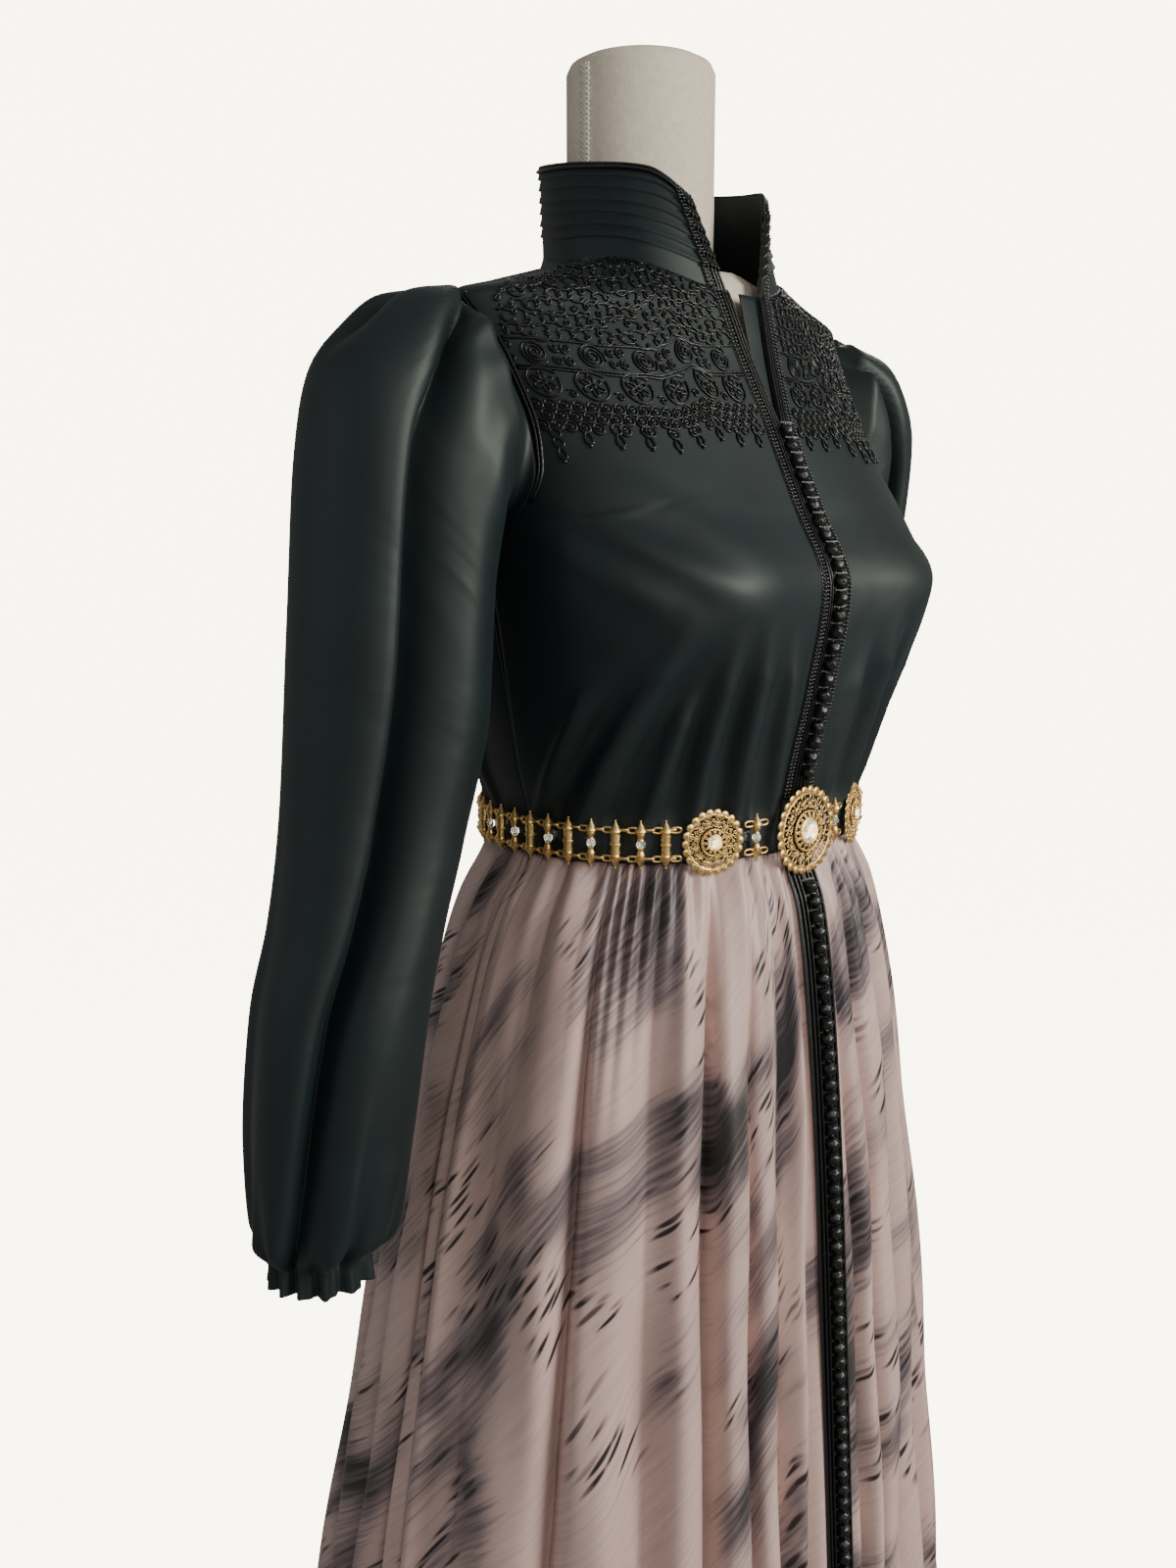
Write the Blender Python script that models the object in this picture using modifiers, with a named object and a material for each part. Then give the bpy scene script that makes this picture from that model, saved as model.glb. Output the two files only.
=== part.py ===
"""A gathered kaftan with a filigree belt, worn by a limbless dress form on a round base.

Metres, +Z up. The front faces -Y and the wearer's right side is at -X. The origin is
the centre of the base's underside. Each panel of cloth is a closed wall between an
outer and an inner grid of points, and both grids are worked out from the section
tables below. What is sewn on a panel is made from that panel's own points, moved out.
"""

import math

import bmesh
import bpy
import numpy as np
from mathutils import Matrix

# Driving dimensions
WAIST_Z = 1.040
HEM_CLEARANCE = 0.018
HEM_DOWN = WAIST_Z - HEM_CLEARANCE
CLOTH = 0.0015
SEAM_GAP = 0.0005
LAYER_GAP = 0.0004
DENSE = 400

# Bodice sections: height above the belt line, half width at the side, the y of the side,
# of the centre front and of the centre back, and how square the outline is.
BODICE_COLUMNS = ("up", "half_width", "side_y", "front_y", "back_y", "square")
BODICE_SECTIONS = (
    (-0.014, 0.1415, -0.013, -0.131, 0.101, 2.30),
    (0.012, 0.1420, -0.013, -0.131, 0.101, 2.30),
    (0.038, 0.1480, -0.012, -0.135, 0.104, 2.40),
    (0.100, 0.1590, -0.010, -0.149, 0.109, 2.70),
    (0.166, 0.1690, -0.006, -0.159, 0.115, 3.20),
    (0.217, 0.1735, -0.001, -0.136, 0.119, 3.00),
    (0.276, 0.1775, 0.001, -0.108, 0.117, 2.40),
    (0.322, 0.1830, 0.002, -0.089, 0.110, 1.90),
    (0.353, 0.1870, 0.003, -0.079, 0.105, 1.60),
    (0.364, 0.1530, 0.005, -0.075, 0.102, 1.65),
    (0.374, 0.1180, 0.007, -0.072, 0.099, 1.80),
    (0.386, 0.0800, 0.009, -0.070, 0.096, 2.00),
    (0.396, 0.0740, 0.010, -0.069, 0.095, 2.00),
    (0.410, 0.0710, 0.010, -0.068, 0.094, 2.00),
)
BODICE_ROWS = (
    -0.014, 0.012, 0.038, 0.072, 0.108, 0.142, 0.175, 0.208,
    0.232, 0.256, 0.274, 0.292, 0.310, 0.326, 0.341, 0.353,
)
ARMPIT_ROW = BODICE_ROWS.index(0.208)
BUST_UP, BUST_X, BUST_REACH, BUST_SPREAD = 0.166, 0.098, 0.017, 0.056
BLOUSE_DEPTH, BLOUSE_PITCH, BLOUSE_FADE = 0.0016, 0.034, 0.085

# The armhole edge, as a share of the half width at its height.
ARMHOLE_COLUMNS = ("up", "share")
ARMHOLE = (
    (0.208, 1.000), (0.222, 0.985), (0.245, 0.962), (0.275, 0.948), (0.310, 0.955), (0.353, 1.000),
)

# Half of the gap between the two front edges.
OPENING_COLUMNS = ("up", "half_gap")
OPENING = (
    (-0.014, 0.0010), (0.200, 0.0010), (0.272, 0.0012), (0.296, 0.0050), (0.322, 0.0095),
    (0.364, 0.0160),
)
TOP_HALF_GAP = OPENING[-1][1]
NECK_SIDE_X, NECK_SIDE_UP, SHOULDER_X = 0.080, 0.386, 0.187
NECKLINE_COLUMNS = ("x", "front_up", "back_up")
NECKLINE = (
    (0.000, 0.360, 0.404), (0.016, 0.362, 0.403), (0.037, 0.366, 0.401), (0.060, 0.374, 0.396),
    (NECK_SIDE_X, NECK_SIDE_UP, NECK_SIDE_UP),
)
FRONT_COLUMNS = 18
NECK_COLUMN = 7
BACK_HALF_COLUMNS = 8
BACK_NECK_COLUMN = 3
COLUMN_SHIFT_FROM = 0.72

# Front trim
BRAID_WIDTH = 0.0145
BRAID_THICKNESS = 0.0016
BUTTON_HALF_WIDTH = 0.0050
BUTTON_HEIGHT = 0.0062
BUTTON_NECK_HEIGHT = 0.0026
BUTTON_NECK_WIDTH = 0.62
BUTTON_PITCH = 0.0108
BUTTON_LIFT = BRAID_THICKNESS + 0.0016
BELT_CLEARANCE = 0.036
TOP_BUTTON_UP = 0.275
LOWEST_BUTTON_RISE = 0.012

# Cord embroidery on the yoke
YOKE_THICKNESS = 0.0012
YOKE_RELIEF = 0.0009
YOKE_ROW = BODICE_ROWS.index(0.274)
PENDANT_NOTCH = 0.75
YOKE_INSET = 0.08
YOKE_LIFT = 0.0010
ARMHOLE_CORD_RADIUS = 0.0013
CORD_INSET = 0.45

# Stand collar: the height of its top edge along the share of its length from the front.
COLLAR_COLUMNS = ("share", "up")
COLLAR_TOP = ((0.00, 0.421), (0.07, 0.440), (0.16, 0.446), (0.30, 0.455), (0.50, 0.471))
COLLAR_HALF_WIDTH, COLLAR_HALF_DEPTH, COLLAR_MIDDLE_Y = 0.075, 0.085, 0.012
COLLAR_CORNER_X = 0.038
COLLAR_ROWS = 7
COLLAR_TUCK = 0.0010

# Skirt sections: depth below the belt line, half width, and the y of side, front and back,
# then how far its folds and its gathers stand out.
SKIRT_COLUMNS = ("down", "half_width", "side_y", "front_y", "back_y", "fold", "gather")
SKIRT_SECTIONS = (
    (0.0145, 0.1415, -0.013, -0.131, 0.101, 0.0004, 0.0016),
    (0.024, 0.1450, -0.012, -0.134, 0.105, 0.0010, 0.0028),
    (0.050, 0.1600, -0.009, -0.145, 0.112, 0.0035, 0.0022),
    (0.100, 0.1760, -0.004, -0.154, 0.122, 0.0065, 0.0010),
    (0.215, 0.2000, 0.003, -0.166, 0.148, 0.0100, 0.0000),
    (0.385, 0.2260, 0.010, -0.178, 0.185, 0.0130, 0.0000),
    (0.615, 0.2570, 0.016, -0.193, 0.240, 0.0155, 0.0000),
    (HEM_DOWN, 0.3100, 0.028, -0.222, 0.330, 0.0190, 0.0000),
)
SKIRT_ROWS = (0.0145, 0.024, 0.048, 0.100, 0.210, 0.400, 0.680, HEM_DOWN)
SKIRT_SQUARE = 2.2
FRONT_FOLDS, BACK_FOLDS, POINTS_PER_FOLD = 8, 16, 4
SKIRT_BRAID_WIDTH = 0.0115
SKIRT_HALF_GAP = 0.0010
FOLD_DRIFT = 0.30

# Right sleeve rings: the inner and the outer point in x and in height above the belt
# line, the ring's middle y and half depth, and the place of the long fold round the ring.
SLEEVE_COLUMNS = ("in_x", "in_up", "out_x", "out_up", "mid_y", "half_depth", "fold_at")
SLEEVE_RINGS = (
    (0.1745, 0.204, 0.204, 0.357, 0.002, 0.060, 80),
    (0.1770, 0.194, 0.236, 0.350, 0.003, 0.065, 84),
    (0.1780, 0.178, 0.262, 0.331, 0.004, 0.068, 88),
    (0.1780, 0.154, 0.284, 0.304, 0.006, 0.068, 92),
    (0.1770, 0.128, 0.294, 0.252, 0.008, 0.068, 98),
    (0.1765, 0.080, 0.3005, 0.150, 0.012, 0.068, 107),
    (0.1920, 0.002, 0.309, 0.022, 0.018, 0.062, 120),
    (0.2070, -0.050, 0.319, -0.046, 0.020, 0.061, 127),
    (0.2180, -0.105, 0.333, -0.105, 0.023, 0.061, 134),
    (0.2300, -0.190, 0.340, -0.190, 0.027, 0.059, 144),
    (0.2420, -0.252, 0.338, -0.252, 0.030, 0.051, 151),
    (0.2590, -0.272, 0.325, -0.272, 0.031, 0.033, 155),
    (0.2500, -0.290, 0.334, -0.290, 0.031, 0.042, 155),
)
# The left sleeve hangs further back, out of sight behind the waist.
SWING_COLUMNS = ("up", "back")
LEFT_SWING = (
    (-0.290, 0.072), (-0.190, 0.074), (-0.050, 0.070), (0.010, 0.063), (0.090, 0.044),
    (0.160, 0.028), (0.220, 0.019), (0.290, 0.009), (0.350, 0.000),
)
SLEEVE_POINTS = 20
HEAD_CLEARANCE = 0.0012
SLEEVE_FOLD_DEPTH, SLEEVE_FOLD_SPREAD = 0.010, 20
HEAD_PLEAT_DEPTH, HEAD_PLEATS, HEAD_PLEAT_RINGS = 0.0040, 5, 3
CUFF_GATHER, CUFF_RUFFLE = 0.0016, 0.0040

# Belt
BELT_STAND_OFF, LINK_STAND_OFF = 0.0030, 0.0017
BELT_PLATE = 0.0016
SPINDLE_PITCH = 0.0160
SPINDLE_HALF_WIDTH = 0.0034
SPINDLE_TIP_HALF_WIDTH = 0.0010
BELT_COLUMNS = ("up", "bulge")
BELT_ROWS = (
    (-0.0165, 0.0000), (-0.0112, 0.0016), (-0.0082, 0.0022), (0.0082, 0.0022), (0.0112, 0.0016),
    (0.0165, 0.0000),
)
RAIL_CELLS = (1, 3)
MEDALLION_GAP = 0.0006
SMALL_MEDALLION_ARC = 0.0760
# Medallions: place along the belt, radius, radius of the stone, and the back's stand-off.
MEDALLION_COLUMNS = ("name", "arc", "radius", "stone_radius", "low")
MEDALLIONS = (
    ("medallion_centre", 0.0, 0.0315, 0.0088, 0.0088),
    ("medallion_right", SMALL_MEDALLION_ARC, 0.0228, 0.0052, 0.0041),
    ("medallion_left", -SMALL_MEDALLION_ARC, 0.0228, 0.0052, 0.0041),
)
SCALLOPS, SCALLOP_DEPTH = 16, 0.0018
MEDALLION_RIM, MEDALLION_RISE = 0.0024, 0.0052
STONE_RISE, STONE_SIDES = 0.0032, 10

# Dress form sections, from the hip to the neck's top
FORM_COLUMNS = ("up", "half_width", "side_y", "front_y", "back_y", "square")
FORM_SECTIONS = (
    (-0.232, 0.1400, 0.008, -0.088, 0.104, 2.10),
    (-0.222, 0.1520, 0.006, -0.100, 0.114, 2.10),
    (-0.140, 0.1580, 0.002, -0.110, 0.114, 2.20),
    (-0.060, 0.1440, -0.008, -0.114, 0.100, 2.25),
    (0.000, 0.1335, -0.013, -0.121, 0.091, 2.30),
    (0.100, 0.1500, -0.009, -0.138, 0.101, 2.60),
    (0.166, 0.1580, -0.006, -0.149, 0.107, 2.90),
    (0.217, 0.1600, -0.001, -0.126, 0.110, 2.70),
    (0.276, 0.1600, 0.001, -0.099, 0.108, 2.30),
    (0.322, 0.1670, 0.002, -0.079, 0.100, 1.90),
    (0.3466, 0.1780, 0.003, -0.070, 0.092, 1.60),
    (0.3611, 0.1460, 0.005, -0.065, 0.087, 1.65),
    (0.3716, 0.1080, 0.007, -0.062, 0.082, 1.80),
    (0.3816, 0.0680, 0.009, -0.052, 0.079, 2.00),
)
FORM_POINTS = 20
TURNED_STEPS = 24
NECK_RADIUS, NECK_MIDDLE_Y, NECK_FOOT_UP, NECK_TOP_UP = 0.0530, 0.023, 0.3820, 0.530
POLE_RADIUS = 0.0160
BASE_RADIUS, BASE_RIM, BASE_THICKNESS = 0.190, 0.006, 0.018

SHARP_ANGLE = 40
# Base colour, roughness and metallic value of each finish
FINISHES = {
    "satin_dark": ((0.010, 0.018, 0.018), 0.42, 0.0),
    "satin_print": ((0.42, 0.29, 0.26), 0.45, 0.0),
    "cord_black": ((0.006, 0.007, 0.008), 0.50, 0.0),
    "gilt": ((0.72, 0.55, 0.30), 0.28, 1.0),
    "crystal": ((0.85, 0.87, 0.88), 0.05, 0.0),
    "linen": ((0.58, 0.50, 0.41), 0.85, 0.0),
    "pole_steel": ((0.60, 0.60, 0.62), 0.30, 1.0),
    "base_paint": ((0.70, 0.67, 0.62), 0.50, 0.0),
}


# Reading the tables

def read(table, columns, name, at):
    """A named column of a table at any height, on a smooth curve that never overshoots a row."""
    rows = np.array(table, dtype=float)
    place, value = rows[:, 0], rows[:, columns.index(name)]
    step = np.diff(value) / np.diff(place)
    both = step[:-1] * step[1:]
    total = np.where(both > 0, step[:-1] + step[1:], 1.0)
    slope = np.concatenate([step[:1], np.where(both > 0, 2 * both / total, 0.0), step[-1:]])
    at = np.clip(at, place[0], place[-1])
    row = np.clip(np.searchsorted(place, at, side="right") - 1, 0, len(place) - 2)
    width = place[row + 1] - place[row]
    t = (at - place[row]) / width
    start = (1 + 2 * t) * (1 - t) ** 2 * value[row] + t * (1 - t) ** 2 * width * slope[row]
    end = t * t * (3 - 2 * t) * value[row + 1] + t * t * (t - 1) * width * slope[row + 1]
    return start + end


def bodice(name, up):
    return read(BODICE_SECTIONS, BODICE_COLUMNS, name, up)


def along(curve, distances):
    """Points of a polyline at the given distances from its start."""
    steps = np.linalg.norm(np.diff(curve, axis=0), axis=1)
    length = np.concatenate([[0.0], np.cumsum(steps)])
    return np.stack([np.interp(distances, length, curve[:, k]) for k in range(3)], axis=-1)


def length_of(curve):
    return np.linalg.norm(np.diff(curve, axis=0), axis=1).sum()


def unit(vectors):
    return vectors / np.maximum(np.linalg.norm(vectors, axis=-1, keepdims=True), 1e-12)


def outward(points, axis_y, closed=False):
    """Unit normals of a grid of points that face away from the upright line at axis_y."""
    grid = np.concatenate([points[:, -1:], points, points[:, :1]], axis=1) if closed else points
    across = np.gradient(grid, axis=1)
    if closed:
        across = across[:, 1:-1]
    normal = unit(np.cross(across, np.gradient(points, axis=0)))
    away = points - np.array([0.0, axis_y, 0.0])
    away[..., 2] = 0.0
    return normal * np.sign((normal * away).sum())


def mirrored(points):
    return points * np.array([-1.0, 1.0, 1.0])


# Making the solids

def material(finish):
    made = bpy.data.materials.get(finish)
    if made is None:
        colour, roughness, metallic = FINISHES[finish]
        made = bpy.data.materials.new(finish)
        made.use_nodes = True
        shader = made.node_tree.nodes["Principled BSDF"]
        shader.inputs["Base Color"].default_value = (*colour, 1.0)
        shader.inputs["Roughness"].default_value = roughness
        shader.inputs["Metallic"].default_value = metallic
        made.diffuse_color = (*colour, 1.0)
    return made


def place_on_belt_line(thing):
    """Links an object whose own zero height is the belt line, and raises it to that height."""
    thing.location.z = WAIST_Z
    bpy.data.collections["kaftan_on_dress_form"].objects.link(thing)
    return thing


def keep(name, bm, finish):
    """Turns a finished bmesh into a named object."""
    bmesh.ops.recalc_face_normals(bm, faces=bm.faces[:])
    mesh = bpy.data.meshes.new(name)
    bm.to_mesh(mesh)
    bm.free()
    mesh.materials.append(material(finish))
    mesh.shade_smooth()
    mesh.set_sharp_from_angle(angle=math.radians(SHARP_ANGLE))
    return place_on_belt_line(bpy.data.objects.new(name, mesh))


def wall(name, outer, inner, finish, closed=False, holes=()):
    """A closed wall between two grids of points, joined all round its edges and its holes."""
    rows, columns = outer.shape[:2]
    across = columns if closed else columns - 1
    bm = bmesh.new()
    number = bm.verts.layers.int.new("number")
    bmesh.ops.create_grid(bm, x_segments=across, y_segments=rows - 1, size=1.0)
    for vert in bm.verts:
        column = round((vert.co.x + 1) / 2 * across)
        row = round((vert.co.y + 1) / 2 * (rows - 1))
        vert[number] = row * columns + column % columns
    gone = []
    for face in bm.faces:
        middle = face.calc_center_median()
        cell = (int((middle.y + 1) / 2 * (rows - 1)), int((middle.x + 1) / 2 * across))
        if cell in holes:
            gone.append(face)
    bmesh.ops.delete(bm, geom=gone, context="FACES")
    outside, inside = outer.reshape(-1, 3), inner.reshape(-1, 3)
    for vert in bm.verts:
        vert.co = outside[vert[number]]
    bmesh.ops.remove_doubles(bm, verts=bm.verts[:], dist=1e-6)
    made = bmesh.ops.extrude_face_region(bm, geom=bm.faces[:], use_keep_orig=True)
    for vert in made["geom"]:
        if isinstance(vert, bmesh.types.BMVert):
            vert.co = inside[vert[number]]
    return keep(name, bm, finish)


def loft(name, sections, finish):
    """A solid through unlike closed loops of points, capped at both ends."""
    bm = bmesh.new()
    loops = [[bm.verts.new(point) for point in section] for section in sections]
    count = len(loops[0])
    for low, high in zip(loops, loops[1:]):
        for k in range(count):
            after = (k + 1) % count
            bm.faces.new((low[k], low[after], high[after], high[k]))
    bm.faces.new(loops[0])
    bm.faces.new(loops[-1])
    bmesh.ops.triangulate(bm, faces=[face for face in bm.faces if len(face.verts) > 4])
    return keep(name, bm, finish)


def turned(name, profile, finish, middle_y=0.0):
    """A turned solid: a profile of (radius, height) from top to bottom, swept once round."""
    bm = bmesh.new()
    ring = [bm.verts.new((radius, 0.0, up)) for radius, up in profile]
    for first, second in zip(ring, ring[1:]):
        bm.edges.new((first, second))
    thing = keep(name, bm, finish)
    thing.location.y = middle_y
    screw = thing.modifiers.new("turn", "SCREW")
    screw.steps = screw.render_steps = TURNED_STEPS
    screw.use_merge_vertices = True
    screw.merge_threshold = 1e-5
    return thing


# Bodice

def bodice_depth(x, up, side):
    """The y of the bodice's outside at a distance from the centre line and a height."""
    side_y, reach = bodice("side_y", up), bodice(side, up)
    square = bodice("square", up)
    share = np.clip(np.abs(x) / bodice("half_width", up), 0, 1)
    y = side_y + (reach - side_y) * (1 - share ** square) ** (1 / square)
    outwards = np.sign(reach)
    if side == "front_y":
        across = ((np.abs(x) - BUST_X) / BUST_SPREAD) ** 2
        y = y - BUST_REACH * np.exp(-across - ((up - BUST_UP) / BUST_SPREAD) ** 2)
    fade = np.clip(1 - up / BLOUSE_FADE, 0, 1) * np.clip(1 - share ** 4, 0, 1)
    ripple = np.cos(2 * math.pi * np.abs(x) / BLOUSE_PITCH)
    return y + outwards * BLOUSE_DEPTH * fade * ripple


def top_edge(x, name):
    """Height of a panel's top edge: the neckline, then the shoulder seam."""
    up = np.linspace(BODICE_ROWS[-1], NECK_SIDE_UP, DENSE)
    shoulder = np.interp(x, bodice("half_width", up)[::-1], up[::-1])
    return np.where(x < NECK_SIDE_X, read(NECKLINE, NECKLINE_COLUMNS, name, x), shoulder)


def panel_row(height, side):
    """One dense row of a half panel, from its middle edge to the side seam or armhole."""
    start = TOP_HALF_GAP if side == "front_y" else 0.0
    spread = np.sin(np.linspace(0, math.pi / 2, DENSE))
    top_x = start + (SHOULDER_X - start) * spread
    top = top_edge(top_x, "front_up" if side == "front_y" else "back_up")
    share = (height - BODICE_ROWS[0]) / (BODICE_ROWS[-1] - BODICE_ROWS[0])
    up = BODICE_ROWS[0] + share * (top - BODICE_ROWS[0])
    first = read(OPENING, OPENING_COLUMNS, "half_gap", up[0]) if start else 0.0
    last = bodice("half_width", up[-1])
    if height > BODICE_ROWS[ARMPIT_ROW]:
        last = last * read(ARMHOLE, ARMHOLE_COLUMNS, "share", up[-1])
    x = first + (last - first) * spread
    return np.stack([-x, bodice_depth(x, up, side), up], axis=-1), share


def half_panel(side, count, trim, neck_column):
    """The grid of a half panel. Near the top its columns shift so that one meets the neck point."""
    rows = []
    for height in BODICE_ROWS:
        dense, share = panel_row(height, side)
        whole = length_of(dense)
        neck = length_of(dense[np.abs(dense[:, 0]) <= NECK_SIDE_X])
        first = 1 if trim else 0
        places = np.concatenate([[0.0][:first], np.linspace(trim, whole, count - first)])
        fitted = np.concatenate([
            [0.0][:first],
            np.linspace(trim, neck, neck_column + 1 - first),
            np.linspace(neck, whole, count - neck_column)[1:],
        ])
        blend = np.clip((share - COLUMN_SHIFT_FROM) / (1 - COLUMN_SHIFT_FROM), 0, 1) ** 2
        rows.append(along(dense, places + blend * (fitted - places)))
    return np.array(rows)


def seam_normals(normal, shoulder_from):
    """Squares the normals on the seams and the middle edge, so that both neighbours agree."""
    normal = normal.copy()
    normal[0, :, 2] = 0
    normal[:, 0, 0] = 0
    normal[: ARMPIT_ROW + 1, -1, 1] = 0
    normal[-1, shoulder_from:, 1] = 0
    return unit(normal)


def parted(points, shoulder_from, shift):
    """Moves the side and shoulder seam edges of a half panel apart from its neighbour."""
    points = points.copy()
    points[: ARMPIT_ROW + 1, -1, 1] += shift
    points[-1, shoulder_from:, 1] += shift
    return points


def make_bodice():
    front = half_panel("front_y", FRONT_COLUMNS, BRAID_WIDTH, NECK_COLUMN)
    front = parted(front, NECK_COLUMN, -SEAM_GAP / 2)
    front_out = seam_normals(outward(front, 0.0), NECK_COLUMN)
    half = half_panel("back_y", BACK_HALF_COLUMNS, 0.0, BACK_NECK_COLUMN)
    half = parted(half, BACK_NECK_COLUMN, SEAM_GAP / 2)
    half_out = seam_normals(outward(half, 0.0), BACK_NECK_COLUMN)
    back = np.concatenate([half[:, :0:-1], mirrored(half)], axis=1)
    back_out = np.concatenate([half_out[:, :0:-1], mirrored(half_out)], axis=1)
    inner = front - CLOTH * front_out
    wall("bodice_front_right", front, inner, "satin_dark")
    wall("bodice_front_left", mirrored(front), mirrored(inner), "satin_dark")
    wall("bodice_back", back, back - CLOTH * back_out, "satin_dark")
    return front, front_out, half, half_out


def make_yoke_embroidery(front, front_out):
    """Cord work over the yoke: raised in a small chequer, with a row of pendants below."""
    points, normal = front[YOKE_ROW - 1:, 1:-1].copy(), front_out[YOKE_ROW - 1:, 1:-1]
    points[:, 0] += YOKE_INSET * (points[:, 1] - points[:, 0])
    columns = points.shape[1]
    for column in range(columns):
        if column % 2 == 0:
            points[0, column] += PENDANT_NOTCH * (points[1, column] - points[0, column])
    row, column = np.indices(points.shape[:2])
    relief = YOKE_THICKNESS + YOKE_RELIEF * ((row + column) % 2)
    near = points + YOKE_LIFT * normal
    far = points + (YOKE_LIFT + relief[..., None]) * normal
    wall("yoke_embroidery_right", far, near, "cord_black")
    wall("yoke_embroidery_left", mirrored(far), mirrored(near), "cord_black")


def make_armhole_cords(front, front_out):
    """The piping cord that lies on each front beside the armhole seam."""
    rows = slice(ARMPIT_ROW + 2, len(BODICE_ROWS) - 1)
    edge = front[rows, -1] + CORD_INSET * (front[rows, -2] - front[rows, -1])
    out = unit(front_out[rows, -1] + front_out[rows, -2])
    line = edge + (2 * LAYER_GAP + ARMHOLE_CORD_RADIUS) * out
    cord("armhole_cord_right", line, ARMHOLE_CORD_RADIUS, "cord_black")
    cord("armhole_cord_left", mirrored(line), ARMHOLE_CORD_RADIUS, "cord_black")


def cord(name, points, radius, finish):
    """A round cord along a line of points, capped at both ends."""
    curve = bpy.data.curves.new(name, "CURVE")
    curve.dimensions = "3D"
    spline = curve.splines.new("POLY")
    spline.points.add(len(points) - 1)
    for place, point in zip(spline.points, points):
        place.co = (*point, 1.0)
    curve.bevel_depth = radius
    curve.bevel_resolution = 1
    curve.use_fill_caps = True
    curve.materials.append(material(finish))
    return place_on_belt_line(bpy.data.objects.new(name, curve))


# Collar and front trim

def make_collar(front, half):
    """A stand collar with stitched tucks. Its foot stands just above the neckline."""
    right = front[-1, : NECK_COLUMN + 1]
    back = half[-1, : BACK_NECK_COLUMN][::-1]
    foot = np.concatenate([right, back, mirrored(back[:-1][::-1]), mirrored(right[::-1])])
    foot = foot + np.array([0, 0, SEAM_GAP])
    steps = np.concatenate([[0], np.cumsum(np.linalg.norm(np.diff(foot, axis=0), axis=1))])
    share = steps / steps[-1]
    half_share = np.minimum(share, 1 - share)
    corner = math.asin(COLLAR_CORNER_X / COLLAR_HALF_WIDTH)
    turn = -math.pi / 2 - corner - share * (2 * math.pi - 2 * corner)
    top = np.stack([
        COLLAR_HALF_WIDTH * np.cos(turn),
        COLLAR_MIDDLE_Y + COLLAR_HALF_DEPTH * np.sin(turn),
        read(COLLAR_TOP, COLLAR_COLUMNS, "up", half_share),
    ], axis=-1)
    rise = np.linspace(0, 1, COLLAR_ROWS)[:, None, None]
    points = foot + rise * (top - foot)
    normal = outward(points, COLLAR_MIDDLE_Y)
    tuck = COLLAR_TUCK * (np.arange(COLLAR_ROWS) % 2)[:, None, None]
    tuck[:2] = 0
    wall("collar", points + tuck * normal, points - CLOTH * normal, "satin_dark")
    return points, normal


def make_front_braids(front, front_out, collar, collar_out):
    """The braid that edges each front, from the waist up to the collar's corner."""
    points = np.concatenate([front[:, :2], collar[2:, :2]])
    normal = np.concatenate([front_out[:, :2], collar_out[2:, :2]])
    lift = LAYER_GAP + COLLAR_TUCK * np.concatenate([np.zeros(len(front)), np.ones(len(collar) - 2)])
    near = points + lift[:, None, None] * normal
    far = near + BRAID_THICKNESS * normal
    wall("braid_front_right", far, near, "cord_black")
    wall("braid_front_left", mirrored(far), mirrored(near), "cord_black")


def knotted_strip(name, centre, normal, finish):
    """A row of knotted buttons: a ridge whose crest swells once in each pitch."""
    whole = length_of(centre)
    count = int(whole / BUTTON_PITCH)
    places = np.linspace(0, whole, 2 * count + 1)
    base = along(centre, places)
    lean = unit(along(normal, places))
    side = np.array([BUTTON_HALF_WIDTH, 0, 0])
    rings = []
    for k, (point, out) in enumerate(zip(base, lean)):
        knot = k % 2 == 1
        height = BUTTON_HEIGHT if knot else BUTTON_NECK_HEIGHT
        width = 1.0 if knot else BUTTON_NECK_WIDTH
        low = point + BUTTON_LIFT * out
        rings.append([low - width * side, low + height * out, low + width * side])
    return loft(name, rings, finish)


# Skirt

def skirt(name, down):
    return read(SKIRT_SECTIONS, SKIRT_COLUMNS, name, down)


def skirt_row(down, side):
    """One dense row of half the skirt, from its middle to the side seam, without its folds."""
    turn = np.linspace(0, math.pi / 2, DENSE)
    side_y, reach = skirt("side_y", down), skirt(side, down)
    x = skirt("half_width", down) * np.sin(turn) ** (2 / SKIRT_SQUARE)
    y = side_y + (reach - side_y) * np.cos(turn) ** (2 / SKIRT_SQUARE)
    return np.stack([-x, y, np.full_like(x, -down)], axis=-1)


def fold_wave(count, seed):
    """Fold heights column by column: crests and hollows of uneven height."""
    column = np.arange(count)
    fold = column / POINTS_PER_FOLD
    uneven = 1 + 0.28 * np.sin(2.4 * fold + seed) + 0.18 * np.sin(5.3 * fold + 2 * seed)
    return uneven * np.cos(2 * math.pi * (column % POINTS_PER_FOLD) / POINTS_PER_FOLD)


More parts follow.
